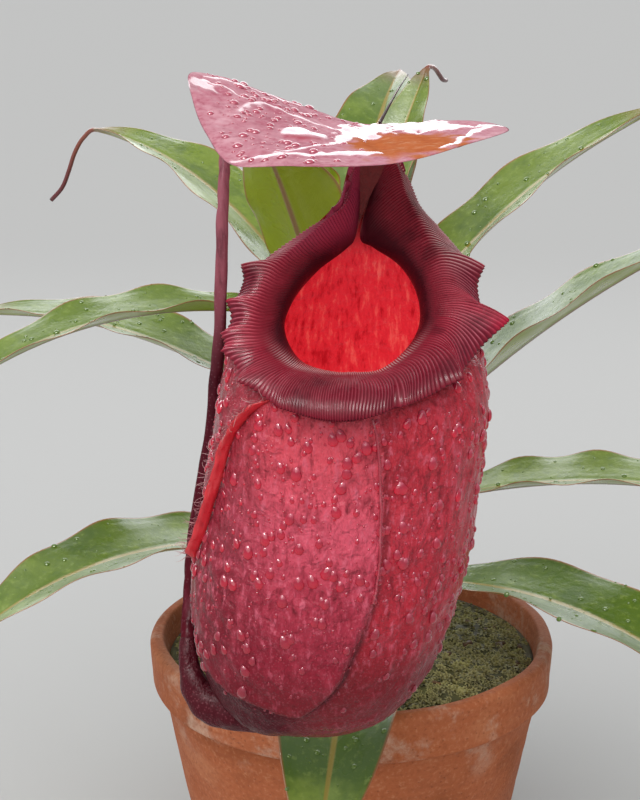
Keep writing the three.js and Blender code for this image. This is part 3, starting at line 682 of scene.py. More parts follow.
def collar_material():
    """Painted shade in the grooves against red crests, and painted highlights along the crests and at
    the ribs' ends.
    """
    finish = Finish("collar", coat_roughness=0.16, specular=0.12)
    rib, across, front, margin = (finish.mark(name) for name in ("rib", "across", "front", "margin"))
    # Painted shade: the groove colours are darker than the crest colours.
    groove = finish.ramp(across, [
        (0.0, "3e101a"), (0.27, "4e1520"), (0.38, "8e2636"), (0.6, "842030"), (1.0, "98203a")])
    crest = finish.ramp(across, [
        (0.0, "48101c"), (0.27, "5e1824"), (0.42, "922838"), (0.58, "c03248"), (0.85, "c83450"),
        (1.0, "d82c48")])
    # The front lip darkens from the mouth to its outer, down-turned face: partly its own colour,
    # partly painted shade.
    lip = finish.ramp(across, [
        (0.0, "c43a4a"), (0.12, "cc4256"), (0.34, "a62a3e"), (0.55, "721526"), (0.88, "681422"),
        (1.0, "862434")])
    base = finish.blend(finish.times(front, 0.8), finish.blend(rib, groove, crest), lip)
    patchy = finish.patches(base, "300c16", "b03448", 70.0, amount=0.45)
    # Painted shadow in the folds between and below the teeth.
    fold = finish.times(finish.mark("fold"), finish.rest(margin))
    colour = finish.cover(patchy["Colour"], "34101a", fold, 0.6)
    colour = finish.cover(colour, "b01c38", finish.mark("tip"), 0.5)
    # Painted highlight: thin pale lines along the rib crests.
    line = finish.math("POWER", rib, 7.0)
    shown = finish.between(patchy["Height"], 0.36, 0.6, 0.2, 0.75)
    middle = finish.times(finish.between(across, 0.42, 0.6), finish.between(across, 0.98, 0.84))
    middle = finish.times(middle, finish.between(front, 0.0, 1.0, 1.0, 0.45))
    colour = finish.cover(colour, "ea8a9a", finish.times(line, shown, middle))
    # Painted highlights: pale rib ends at the upper outer margin and white specks at the lip's inner
    # edge.
    broad = finish.math("POWER", rib, 3.0)
    outer_end_highlights = finish.times(finish.between(across, 0.5, 0.66), margin)
    inner_end_highlights = finish.times(front, 2.0, finish.between(across, 0.46, 0.32))
    ends = finish.math("MINIMUM", finish.plus(outer_end_highlights, inner_end_highlights), 1.0)
    colour = finish.cover(colour, "fae6e2", finish.times(broad, ends))
    colour = finish.cover(colour, "c0486a", finish.mark("left_neck"), 0.7)
    colour = finish.cover(colour, "c07c78", finish.mark("neck"))
    finish.give("colour", colour)
    glossy = finish.times(finish.between(across, 0.5, 0.25), front)
    finish.give("coat", finish.math("MULTIPLY_ADD", glossy, 0.35, 0.1))
    finish.wet_and_dry(160.0, 0.25, 0.45)
    finish.relief(patchy["Height"], 0.25)
    return finish.material


def lid_material():
    """Pink with pale patches and an orange patch. The wet film is paled a little, a painted
    reflection, and the red edge before the pool of water is painted shade.
    """
    finish = Finish("lid", coat_roughness=0.06, coat_ior=1.7, specular=0.0, roughness=0.45)
    film, warm = finish.mark("film"), finish.mark("warm")
    base = finish.patches(tint("ca8694"), "b0586c", "e4b0ba", 60.0, amount=0.8)
    fine = finish.patches(base["Colour"], "aa5064", "dcaab4", 420.0, amount=0.6)
    orange = finish.patches(tint("c87038"), "b45826", "dca078", 260.0, amount=0.6)["Colour"]
    # Painted reflection: the wet film is paled towards white.
    upper = finish.cover(fine["Colour"], "f0d0d4", film, 0.15)
    upper = finish.blend(finish.times(warm, 0.9), upper, orange)
    # Painted shade: a red crescent in front of the pool of water.
    upper = finish.cover(upper, "a81c38", finish.mark("puddle_shade"), 0.8)
    under = finish.blend(0.5, fine["Colour"], tint("8c3a44"))
    finish.give("colour", finish.blend(finish.mark("top"), under, upper))
    wet = finish.between(film, 0.0, 1.0, 0.08, 1.0)
    finish.give("coat", finish.times(wet, finish.rest(warm)))
    finish.relief(finish.plus(base["Height"], finish.times(fine["Height"], 0.25)), 0.4)
    return finish.material


def ribbon_material(name, base, dark, light):
    """Wing, seam or spur: one colour with soft patches."""
    finish = Finish(name, coat=0.3, coat_roughness=0.15)
    patchy = finish.patches(tint(base), dark, light, 260.0, 3.0, 0.8)
    finish.give("colour", patchy["Colour"])
    finish.wet_and_dry(120.0, 0.25, 0.45)
    finish.relief(patchy["Height"], 0.35)
    return finish.material


def tendril_material():
    """Green where it leaves the leaf, then pink near the top of its arch, partly a painted highlight,
    and dark red beside the cup.
    """
    finish = Finish("tendril", coat=0.12, coat_roughness=0.3, specular=0.0)
    # The pink round share 0.2 is partly the tendril's own colour, partly a painted highlight on its
    # arch.
    base = finish.ramp(finish.mark("along"), [
        (0.0, "6b7a34"), (0.08, "86604a"), (0.2, "c07886"), (0.45, "a05864"), (0.6, "521a26"),
        (1.0, "581420")])
    patchy = finish.patches(base, "35141c", "7e3c4a", 300.0, 5.0, 0.5)
    finish.give("colour", finish.cover(patchy["Colour"], "b08890", finish.dots(700.0, 0.3), 0.14))
    finish.wet_and_dry(120.0, 0.3, 0.5)
    finish.relief(patchy["Height"], 0.4)
    return finish.material


def leaf_material():
    """Green blades with a warm midrib and margin, and a red tip and tendril.

    across is 0 at the midrib and 1 at the margin. along is 0 at the stem, 1 at the blade's tip and
    2 at the tendril's end.
    """
    finish = Finish("leaf", coat=0.35, coat_roughness=0.15, specular=0.5)
    across, along, under = finish.mark("across"), finish.mark("along"), finish.mark("under")
    base = finish.blend(finish.mark("tone"), tint("4e6a20"), tint("84992a"))
    patchy = finish.patches(base, "3c5820", "93a84a", 26.0, amount=0.6)
    fine = finish.patches(patchy["Colour"], "47652a", "9cb058", 300.0, amount=0.35)
    colour = finish.cover(fine["Colour"], "9eae14", under, 0.75)
    midrib = finish.times(finish.between(across, 0.075, 0.03), 0.85)
    colour = finish.blend(midrib, colour, finish.blend(under, tint("a08a3c"), tint("946448")))
    colour = finish.cover(colour, "a0603c", finish.between(across, 0.93, 0.99), 0.8)
    colour = finish.cover(colour, "8c4a3a", finish.between(along, 0.88, 1.06))
    colour = finish.cover(colour, "6c2c30", finish.between(along, 1.2, 1.8))
    finish.give("colour", colour)
    finish.wet_and_dry(40.0, 0.25, 0.42)
    finish.relief(fine["Height"], 0.3)
    return finish.material


def bark_material():
    """Brown bark that turns green towards the stem's top."""
    finish = Finish("stem bark", roughness=0.75)
    rise = finish.between(finish.axes["Z"], 0.19, 0.3)
    base = finish.blend(rise, tint("5b452e"), tint("6f7a3a"))
    patchy = finish.patches(base, "33261a", "8c7650", 240.0, 5.0, 0.9)
    finish.give("colour", patchy["Colour"])
    finish.relief(patchy["Height"], 0.9)
    return finish.material


def clay_material():
    """Unglazed clay: turning marks, pale bloom below the rim and at the foot, small dark pits."""
    finish = Finish("clay", specular=0.25)
    body = finish.patches(tint("b2643f"), "94502f", "c47e58", 22.0, 0.6, 0.7)
    fine = finish.patches(body["Colour"], "8f4c2f", "cf936e", 520.0, amount=0.4)
    near_foot = finish.between(finish.axes["Z"], 0.045, 0.0)
    near_band = finish.between(finish.axes["Z"], 0.1, 0.128)
    blooming = finish.between(finish.noise(finish.place, 38.0, 6.0, 0.7), 0.5, 0.7)
    bloom = finish.times(blooming, finish.math("MAXIMUM", near_foot, near_band))
    colour = finish.cover(fine["Colour"], "d9c3ae", bloom, 0.55)
    pits = finish.dots(330.0, 0.2)
    finish.give("colour", finish.cover(colour, "7c4229", pits, 0.35))
    finish.wet_and_dry(30.0, 0.72, 0.92)
    turning = {"Vector": finish.place, "Scale": 70.0, "Distortion": 1.5, "Detail": 2.0}
    rings = finish.add("ShaderNodeTexWave", turning, bands_direction="Z").outputs["Fac"]
    height = finish.plus(finish.times(rings, 0.35), fine["Height"])
    finish.relief(finish.math("SUBTRACT", height, finish.times(pits, 0.5)), 0.35)
    return finish.material


def mossy_material(name, base, dark, light, dry):
    """Moss or bark crumbs, with dry tips."""
    finish = Finish(name, specular=0.3, sheen=0.15, roughness=0.8)
    patchy = finish.patches(tint(base), dark, light, 55.0, amount=0.9)
    finish.give("colour", finish.cover(patchy["Colour"], dry, finish.mark("tip"), 0.7))
    finish.relief(patchy["Height"], 0.5)
    return finish.material


def water_material(name, pale, dark, bright, deep, lowest=0.0):
    """Drops, in painted light: a pale painted reflection on top, then dark, and painted brightness
    below where the light gathers.

    They are painted darker at the lowest height, like the flesh's painted shade there, and lose that
    within 110 mm above it.
    """
    finish = Finish(name, roughness=0.05, coat=1.0, coat_roughness=0.02, specular=0.1)
    # Painted reflection on top and painted gathered light below, by each point's place in the drop.
    colour = finish.ramp(finish.mark("fall"), [(0.0, pale), (0.35, dark), (0.95, bright)])
    low = finish.between(finish.axes["Z"], lowest, lowest + 0.11, 0.85, 0.0)
    finish.give("colour", finish.cover(colour, deep, low))
    return finish.material


def hair_material():
    finish = Finish("hairs", roughness=0.4)
    colour = finish.ramp(finish.mark("tip"), [(0.0, "a04048"), (0.5, "c08488"), (1.0, "ddb8b4")])
    finish.give("colour", colour)
    return finish.material


# ---- geometry node trees ----

def chance(nodes, seed, offset, low=0.0, high=1.0):
    """A random number for each copy. The offset keeps one kind of draw apart from the others."""
    inputs = {"Min": low, "Max": high, "Seed": nodes.plus(seed, offset)}
    return nodes.add("FunctionNodeRandomValue", inputs, data_type="FLOAT").outputs["Value"]


def either_way(nodes, seed, offset, most):
    """A random number from minus most to most for each copy."""
    return chance(nodes, seed, offset, nodes.times(most, -1.0), most)


def read_object(nodes, thing):
    return nodes.add("GeometryNodeObjectInfo", {"Object": thing}).outputs["Geometry"]


def read_attribute(nodes, name, kind):
    inputs = {"Name": name}
    return nodes.add("GeometryNodeInputNamedAttribute", inputs, data_type=kind).outputs["Attribute"]


def aimed(nodes, inputs, axis, pivot="AUTO"):
    """A rotation that points an axis along a vector."""
    settings = {"axis": axis, "pivot_axis": pivot}
    return nodes.add("FunctionNodeAlignRotationToVector", inputs, **settings).outputs["Rotation"]


def place_copies(nodes, given, result, points, rotation, turn, size):
    """Puts a turned and sized copy of the shape on each point, as real geometry in its material."""
    both = {"Rotation": rotation, "Rotate By": turn}
    turned = nodes.add("FunctionNodeRotateRotation", both, rotation_space="LOCAL").outputs["Rotation"]
    copies = nodes.add("GeometryNodeInstanceOnPoints", {
        "Points": points, "Instance": read_object(nodes, given["Shape"]), "Rotation": turned,
        "Scale": size}).outputs[0]
    real = nodes.add("GeometryNodeRealizeInstances", {"Geometry": copies}).outputs[0]
    done = nodes.add("GeometryNodeSetMaterial", {"Geometry": real, "Material": given["Material"]})
    nodes.feed(result["Geometry"], done.outputs[0])
    return nodes.tree


def scatter_tree():
    """Copies of a small shape scattered over a surface, standing on it and turned one way up."""
    nodes, given, result = new_group(
        "scatter", "GeometryNodeTree",
        [("Geometry", GEOMETRY, None), ("Surface", OBJECT, None), ("Shape", OBJECT, None),
         ("Density", FLOAT, 10000.0), ("Smallest", FLOAT, 0.5), ("Largest", FLOAT, 1.0),
         ("Small Share", FLOAT, 2.0), ("Spin", FLOAT, 0.0), ("Lean", FLOAT, 0.0),
         ("Seed", WHOLE, 1), ("Material", MATERIAL, None)],
        [("Geometry", GEOMETRY)])
    seed, smallest, largest = given["Seed"], given["Smallest"], given["Largest"]
    density = nodes.times(given["Density"], read_attribute(nodes, "wet", "FLOAT"))
    points = nodes.add("GeometryNodeDistributePointsOnFaces", {
        "Mesh": read_object(nodes, given["Surface"]), "Density": density, "Seed": seed}).outputs
    upright = aimed(nodes, {"Vector": points["Normal"]}, "Z")
    hanging = aimed(nodes, {"Rotation": upright, "Vector": (0.0, 0.0, 1.0)}, "Y", "Z")
    turn = nodes.add("ShaderNodeCombineXYZ", {
        "X": either_way(nodes, seed, 13.0, given["Lean"]),
        "Y": either_way(nodes, seed, 29.0, given["Lean"]),
        "Z": either_way(nodes, seed, 0.0, given["Spin"])}).outputs[0]
    share = nodes.math("POWER", chance(nodes, seed, 7.0), given["Small Share"])
    size = nodes.plus(smallest, nodes.times(share, nodes.math("SUBTRACT", largest, smallest)))
    return place_copies(nodes, given, result, points["Points"], hanging, turn, size)


def fringe_tree():
    """Hairs standing along an edge line, each a thin bent cone, turned and sized at random."""
    nodes, given, result = new_group(
        "fringe", "GeometryNodeTree",
        [("Geometry", GEOMETRY, None), ("Edge", OBJECT, None), ("Shape", OBJECT, None),
         ("Spacing", FLOAT, 0.001), ("Smallest", FLOAT, 0.5), ("Largest", FLOAT, 1.0),
         ("Sway", FLOAT, 0.5), ("Seed", WHOLE, 1), ("Material", MATERIAL, None)],
        [("Geometry", GEOMETRY)])
    seed = given["Seed"]
    edge = read_object(nodes, given["Edge"])
    curve = nodes.add("GeometryNodeMeshToCurve", {"Mesh": edge}).outputs["Curve"]
    points = nodes.add("GeometryNodeCurveToPoints", {
        "Curve": curve, "Length": given["Spacing"]}, mode="LENGTH").outputs
    standing = aimed(nodes, {"Vector": read_attribute(nodes, "out", "FLOAT_VECTOR")}, "Z")
    sway = [either_way(nodes, seed, offset, given["Sway"]) for offset in (0.0, 11.0, 23.0)]
    turn = nodes.add("ShaderNodeCombineXYZ", {
        "X": sway[0], "Y": sway[1], "Z": nodes.times(sway[2], 6.0)}).outputs[0]
    size = chance(nodes, seed, 5.0, given["Smallest"], given["Largest"])
    return place_copies(nodes, given, result, points["Points"], standing, turn, size)


SCATTER = scatter_tree()
FRINGE = fringe_tree()
TEMPLATES = []


def grown(name, tree, values):
    """A plain mesh object made by a node tree from named values."""
    piece = put_in_scene(name, bpy.data.meshes.new(name))
    modifier = piece.modifiers.new("grow", "NODES")
    modifier.node_group = tree
    for item in tree.interface.items_tree:
        if item.in_out == "INPUT" and item.name in values:
            modifier[item.identifier] = values[item.name]
    make_plain(piece).shade_smooth()
    return piece


def scatter(name, surface, shape, material, density, sizes, small_share, spin, seed, lean=0.0):
    """Copies of a shape on a surface, where it is marked wet. sizes are the smallest and largest."""
    return grown(name, SCATTER, {
        "Surface": surface, "Shape": shape, "Material": material, "Density": density,
        "Smallest": sizes[0], "Largest": sizes[1], "Small Share": small_share, "Spin": spin,
        "Lean": lean, "Seed": seed})


def template(name, skin, mark):
    """A small shape that a node tree copies. It is taken away at the end."""
    shape = make_piece(name, skin, bpy.data.materials.new(name), (mark,))
    TEMPLATES.append(shape)
    return shape


# ---- pot, moss and stem ----

POT_KINK = POT["height"] - POT["band"] - POT["band_foot"]


def rounded(outline, radius, steps=4):
    """The outline with each inner corner cut to a short arc."""
    outline = np.array(outline, float)
    points = [outline[0]]
    for before, corner, after in zip(outline, outline[1:], outline[2:]):
        shorter = min(np.linalg.norm(before - corner), np.linalg.norm(after - corner))
        near = min(radius, 0.45 * shorter)
        start = corner + unit(before - corner) * near
        end = corner + unit(after - corner) * near
        for share in np.linspace(0, 1, steps + 1):
            a, b, c = (1 - share) ** 2, 2 * share * (1 - share), share ** 2
            points.append(a * start + b * corner + c * end)
    return np.array([*points, outline[-1]])


def turned(outline, around):
    """Rows of a shape turned about the Z axis. The outline starts and ends near the axis."""
    return outline[:, 0, None, None] * unit_circle(around) + outline[:, 1, None, None] * UP


def refined(outline, step):
    """The outline with its long parts divided, about a step apart."""
    fine = [outline[0]]
    for a, b in zip(outline, outline[1:]):
        count = max(1, int(np.linalg.norm(b - a) / step))
        fine += [a + (b - a) * k / count for k in range(1, count + 1)]
    return np.array(fine)


def pot_outline():
    height, rim, top, foot = POT["height"], POT["rim"], POT["top"], POT["foot"]
    wall, floor, edge, shoulder = POT["wall"], POT["floor"], POT["edge"], POT["height"] - POT["band"]
    corners = [
        (0.5, 0), (foot - edge, 0), (foot, edge), (top, shoulder),
        (rim - edge / 2, shoulder + edge / 2), (rim, height - edge), (rim - edge, height),
        (rim - wall - edge / 2, height), (rim - wall - edge, height - edge), (top - wall, POT_KINK),
        (foot - wall, floor), (0.5, floor),
    ]
    return refined(rounded(corners, POT["rounding"]), POT["step"])


def make_drill(material):
    """The drain holes as one shape to cut away."""
    drills = []
    for hole in range(DRAIN["count"]):
        angle = 2 * math.pi * hole / DRAIN["count"]
        centre = np.array([math.cos(angle), math.sin(angle), 0]) * DRAIN["circle"]
        line = [centre - UP * POT["floor"], centre + UP * 2 * POT["floor"]]
        rows = tube_rows(line, lambda share: DRAIN["radius"] + 0 * share, DRAIN["sides"], 2)
        drills.append(closed_skin(rows))
    return make_piece("drill", joined(*drills), material)


def make_pot(material):
    rows = turned(pot_outline(), POT["around"])
    turning = POT["turning"] * waves(rows * (0.2, 0.2, 1), 9, 4)
    wobble = POT["wobble"] * waves(rows, 60, 3) + turning
    away = unit(rows * (1, 1, 0))
    rows = rows + away * (wobble * smooth(0, 12, rows[..., 2]))[..., None]
    pot = make_piece("clay_pot", closed_skin(rows), material)
    drill = make_drill(material)
    cut = pot.modifiers.new("holes", "BOOLEAN")
    cut.object, cut.solver = drill, "EXACT"
    mesh = make_plain(pot)
    bpy.data.objects.remove(drill)
    mesh.set_sharp_from_angle(angle=math.radians(40))
    add_to_plant(pot, "pot")


def moss_radius(z):
    """Radius of the pot's inside at a height, less the gap."""
    low = mix(POT["foot"], POT["top"], (z - POT["floor"]) / (POT_KINK - POT["floor"]))
    lip = POT["height"] - POT["edge"]
    high = mix(POT["top"], POT["rim"] - POT["edge"], (z - POT_KINK) / (lip - POT_KINK))
    return np.where(z < POT_KINK, low, high) - POT["wall"] - MOSS["gap"]


def moss_top(x, y):
    """Height of the moss, with its crown and soft bumps, at places seen from above."""
    reach = np.hypot(x, y) / moss_radius(MOSS["edge"])
    bumps = np.sin(x / 7 + 1.3 * np.sin(y / 11)) * np.cos(y / 8 + 0.9 * np.sin(x / 13))
    return MOSS["edge"] + MOSS["crown"] * (1 - reach ** 2) + MOSS["bump"] * bumps * (1 - reach ** 6)


def make_moss(material, sprig_material, chip_material):
    """The bed that fills the pot, with moss sprigs and a few bark chips on it."""
    foot, edge = POT["floor"] + MOSS["gap"], MOSS["edge"]
    ring = unit_circle(MOSS["around"])
    middle, inner, wall = 0.02, 0.5, MOSS["wall_ring"]
    corners = [(foot, middle), (foot, inner), (foot, 1), (wall, 1), (POT_KINK, 1), (edge, 1)]
    sides = [ring * moss_radius(z) * share + UP * z for z, share in corners]
    tops = []
    for share in np.linspace(1, 0.01, MOSS["rings"])[1:]:
        row = ring * moss_radius(edge) * share
        lumps = MOSS["lump"] * waves(row, 9, 21)
        row[:, 2] = moss_top(row[:, 0], row[:, 1]) + lumps - MOSS["sunk"]
        tops.append(row)
    rows = np.array(sides + tops)
    wet = smooth(0.98, 0.95, np.hypot(rows[..., 0], rows[..., 1]) / moss_radius(edge))
    wet = wet * (rows[..., 2] > edge - 1)
    bed = make_piece("moss_bed", closed_skin(with_marks(rows, wet, 0.0)), material, ("wet", "tip"))
    sprig = template("sprig", moss_sprig(), "tip")
    chip = template("chip", bark_chip(), "tip")
    sprigs = scatter(
        "moss_sprigs", bed, sprig, sprig_material, 118000.0, (0.7, 1.35), 1.0, 3.14, 5, lean=0.5)
    chips = scatter(
        "bark_chips", bed, chip, chip_material, 2600.0, (0.5, 1.2), 1.4, 3.14, 9, lean=0.6)
    for piece in (bed, sprigs, chips):
        add_to_plant(piece, "growing_medium")


def leaflet_skin(length, tilt, turn, lift):
    """A thin moss leaflet of two faces, 1 mm wide, that rises from the middle and droops."""
    c, s = math.cos(turn), math.sin(turn)
    droop = 0.35 * length
    line = []
    for share, half in ((0.0, 0.25), (0.45, 0.5), (1.0, 0.03)):
        out = length * share * math.cos(tilt)
        rise = lift + length * share * math.sin(tilt) - droop * share ** 3
        for aside in (-half, half):
            line.append((out * c - aside * s, out * s + aside * c, rise, share))
    return np.array(line), [[0, 2, 3, 1], [2, 4, 5, 3]]


def moss_sprig():
    """A moss head: leaflets in three tiers round a short stalk."""
    leaflets = []
    for tier, (count, tilt, length) in enumerate(((7, 0.25, 2.5), (5, 0.8, 2.1), (3, 1.25, 1.6))):
        for index in range(count):
            turn = 2 * math.pi * (index + 0.4 * tier) / count
            leaflets.append(leaflet_skin(length, tilt, turn, 0.2 + 0.35 * tier))
    return joined(*leaflets)


def bark_chip():
    """A flat crumb of bark with eight corners."""
    corners = [(-3, -2, -0.3), (2.6, -1.7, -0.2), (3.2, 1.4, -0.3), (-2.4, 2, -0.2),
               (-2.4, -1.6, 1.1), (2.2, -1.3, 1.4), (2.6, 1.1, 1.0), (-2, 1.5, 1.3)]
    faces = [[0, 3, 2, 1], [4, 5, 6, 7], [0, 1, 5, 4], [1, 2, 6, 5], [2, 3, 7, 6], [3, 0, 4, 7]]
    return with_marks(np.array(corners, float), 0.0), faces


def make_stem(material):
    """The stem with its ring scars, closed by a round tip."""
    def radius(share):
        tip = np.clip((share - 1 + STEM["tip_share"]) / STEM["tip_share"], 0, 0.98)
        plain = mix(STEM["foot_radius"], STEM["top_radius"], share) * np.sqrt(1 - tip ** 2)
        scars = np.exp(-((share * STEM["scars"]) % 1 - 0.5) ** 2 / 0.02)
        return plain - STEM["slimmer"] + STEM["scar"] * scars

    stem = make_piece("stem_bark", closed_skin(tube_rows(STEM_LINE, radius, 40, 240)), material)
    add_to_plant(stem, "stem")


# ---- leaves ----

def direction(turn, rise):
    a, e = math.radians(turn), math.radians(rise)
    return np.array([math.cos(a) * math.cos(e), math.sin(a) * math.cos(e), math.sin(e)])


def leaf_line(height, turn, rise, fall, swing, length, tendril):
    """Midrib and tendril of a leaf as one line of points, starting inside the stem."""
    blade_steps, tendril_steps, droop = 8, 5, 75
    share = (height - STEM["foot"]) / (STEM["top"] - STEM["foot"])
    place = spline(STEM_LINE, share) + direction(turn, 0) * 3
    points = [place]
    for step in range(blade_steps):
        share = (step + 0.5) / blade_steps
        heading = direction(turn + swing * share, mix(rise, fall, share ** 1.2))
        place = place + heading * length / blade_steps
        points.append(place)
    for step in range(1, tendril_steps + 1):
        share = step / tendril_steps
        bend = droop * math.sin(share * math.pi * 0.75)
        place = place + direction(turn + swing * (1 + share), fall - bend) * tendril / tendril_steps
        points.append(place)
    return np.array(points)


def half_width(width, share, tip_radius, skew):
    """Half a blade's width at a share of its length: a winged stalk, then a lance shape."""
    blade = np.clip((share - LEAF["stalk_share"]) / (1 - LEAF["stalk_share"]), 0, 1)
    lance = np.abs(np.sin(math.pi * blade ** skew)) ** 0.75
    stalk = LEAF["stalk_half"] * (1 - smooth(LEAF["stalk_share"], LEAF["stalk_end"], share))
    return np.maximum(stalk, tip_radius) * (1 - lance) + np.maximum(width / 2 * lance, tip_radius)


def leaf_skin(points, blade_share, width, tip_radius, tendril_rows, skew, seed, tone):
    """A leaf as one closed skin: grooved midrib, parallel veins, waved margins, then its tendril."""
    blade = np.linspace(0, 1, LEAF["rows"])
    share = np.append(blade * blade_share, np.linspace(blade_share, 1, tendril_rows + 1)[1:])
    on_blade = np.arange(len(share)) < LEAF["rows"]
    blade = np.append(blade, np.ones(tendril_rows))
    place = spline_by_length(points, share)
    centre = spline(points, place)
    ahead = spline(points, np.minimum(place + NEARBY, 1))
    behind = spline(points, np.maximum(place - NEARBY, 0))
    heading = unit(ahead - behind)
    side = unit(np.cross(UP, heading))
    for row in range(LEAF["rows"], len(share)):
        side[row] = unit(side[row - 1] - heading[row] * np.dot(side[row - 1], heading[row]))
    lift = np.cross(heading, side)
    half = np.where(on_blade, half_width(width, blade, tip_radius, skew), tip_radius)
    flat = np.where(on_blade, smooth(tip_radius, 3 * tip_radius, half), 0)
    blade, half, flat = blade[:, None], half[:, None], flat[:, None]

    steps = np.linspace(0, math.pi, 2 * LEAF["across"] + 1)
    angle = np.append(steps, -steps[-2:0:-1])
    across = np.cos(angle)
    upper = np.where(np.sin(angle) >= 0, 1.0, -1.0)
    from_rib = np.abs(across)
    distance = half * from_rib
    body = LEAF["thickness"] / 2 * np.abs(np.sin(angle)) ** 0.5 * upper
    groove = LEAF["groove"] * bell(distance, LEAF["groove_width"]) * (upper > 0)
    keel = LEAF["keel"] * bell(distance, LEAF["keel_width"]) * (upper < 0)
    veins = sum(
        LEAF["vein"] * bell((from_rib - at) * half, LEAF["vein_width"]) for at in LEAF["veins_at"])
    random = np.random.default_rng(seed)
    phase, _ = random.uniform(0, 6.28, 2)
    margin = np.sin(blade * random.uniform(3.5, 5.5) * 6.28 + phase + 1.1 * (across > 0))
    wave = LEAF["wave"] * margin * from_rib ** 3 * np.sin(math.pi * blade) ** 0.8
    fold = half * LEAF["fold"] * from_rib ** 1.2
    folded = fold + wave + body - groove - keel - veins * upper
    raised = mix(tip_radius * np.sin(angle) + 0 * folded, folded, flat)
    reach = half * across
    rows = centre[:, None] + side[:, None] * reach[..., None] + lift[:, None] * raised[..., None]

    beyond = 1 + (share - blade_share) / max(1 - blade_share, 1e-6)
    along = np.where(on_blade, blade[:, 0], beyond)[:, None]
    wet = (upper > 0) * smooth(0.1, 0.3, blade) * (flat > 0.9)
    marks = (mix(0.5, from_rib, flat), along, upper < 0, wet, tone)
    return closed_skin(with_marks(rows, *marks))


LEAF_MARKS = ("across", "along", "under", "wet", "tone")


def make_leaves(material):
    """The leaves by the name of the node that each replaces."""
    skins = {}
    for index, (height, turn, rise, fall, swing, length, width, tendril) in enumerate(LEAVES):
        line = leaf_line(height, turn, rise, fall, swing, length, tendril)
        tone = (index % 5) / 5 * 0.6 + 0.4 * index / len(LEAVES)
        skins[f"{index + 1:02d}"] = leaf_skin(
            line, length / (length + tendril), width, LEAF["tendril_radius"],
            LEAF["tendril_rows"], LEAF["skew"], index, tone)
    skins["bearer"] = leaf_skin(
        np.array(BEARER_LINE, float), BEARER["blade_share"], BEARER["width"], BEARER["tip_radius"],
        BEARER["tip_rows"], BEARER["skew"], BEARER["seed"], BEARER["tone"])
    leaves = {}
    for name, skin in skins.items():
        leaf = make_piece("leaf_blade_" + name, skin, material, LEAF_MARKS)
        add_to_plant(leaf, "leaf_" + name)
        leaves["leaf_" + name] = leaf
    return leaves


def make_tendril(material):
    """The pitcher's tendril, from its leaf's tip down into the horn of the cup's foot."""
    def radius(share):
        return mix(TENDRIL["top_radius"], TENDRIL["foot_radius"], smooth(0.1, 1, share))

    line = [*TENDRIL_LINE, tuple(PITCHER + HORN_LINE[1])]
    rows = tube_rows(line, radius, TENDRIL["sides"], TENDRIL["rows"])
    points = rows[..., :3]
    rows[..., :3] = swollen(points, TENDRIL["lumps"] * waves(points * (1, 1, 0.35), 3.5, 31))
    tendril = make_piece("pitcher_tendril", closed_skin(rows), material, ("along",))
    add_to_plant(tendril, "tendril")


# ---- the pitcher: mouth and collar ----

def mouth_at(t):
    """The mouth's edges and directions at places counted from station to station."""
    step = 0.001
    inner, crest, outer = (spline(MOUTH[:, k:k + 3], t % 1, closed=True) for k in (0, 3, 6))
    ahead = spline(MOUTH[:, 3:6], (t + step) % 1, closed=True)
    behind = spline(MOUTH[:, 3:6], (t - step) % 1, closed=True)
    along = unit(ahead - behind)
    out = outer - inner
    out = unit(out - along * dot(out, along))
    up = unit(np.cross(out, along))
    up = np.where(dot(up, COLLAR_FACES - crest) < 0, -up, up)
    return inner, crest, outer, along, out, up


def tooth_reach(share):
    total = np.zeros_like(share)
    for at, reach, width in TEETH:
        away = np.abs(round_offset(share, at)) / width
        total += reach * np.exp(-COLLAR["tooth_fall"] * away ** COLLAR["tooth_point"])
    return total


def rib_places(columns):
    """Shares round the collar, closer together where its ribs are finer, and how fine they are."""
    share = np.linspace(0, 1, 4001)
    fineness = np.ones_like(share)
    for at, amount, width in FINER_RIBS:
        fineness += amount * bell(round_offset(share, at), width)
    count = np.append(0, np.cumsum((fineness[1:] + fineness[:-1]) / 2))
    places = np.interp(np.arange(columns) / columns * count[-1], count, share)
    return places, np.interp(places, share, fineness)


def gathered(share, across):
    """Shares that lean towards the nearest tooth as the ribs near the collar's outer edge."""
    lean = np.zeros((len(share), len(across)))
    for at, reach, width in TEETH:
        away = round_offset(share, at)
        pull = COLLAR["lean"] * min(reach / 5, 1) * away * bell(away, COLLAR["lean_width"] * width)
        lean -= pull[:, None] * smooth(0.45, 1, across)
    return share[:, None] + lean


def read_again(values, share, places):
    """Points given at shares round the collar, read at other places for each step across it."""
    result = np.empty_like(values)
    for step in range(values.shape[1]):
        for axis in range(3):
            result[:, step, axis] = np.interp(places[:, step], share, values[:, step, axis], period=1)
    return result


def bezier(a, b, c, d, w):
    w = w[:, None]
    return (1 - w) ** 3 * a + 3 * (1 - w) ** 2 * w * b + 3 * (1 - w) * w * w * c + w ** 3 * d


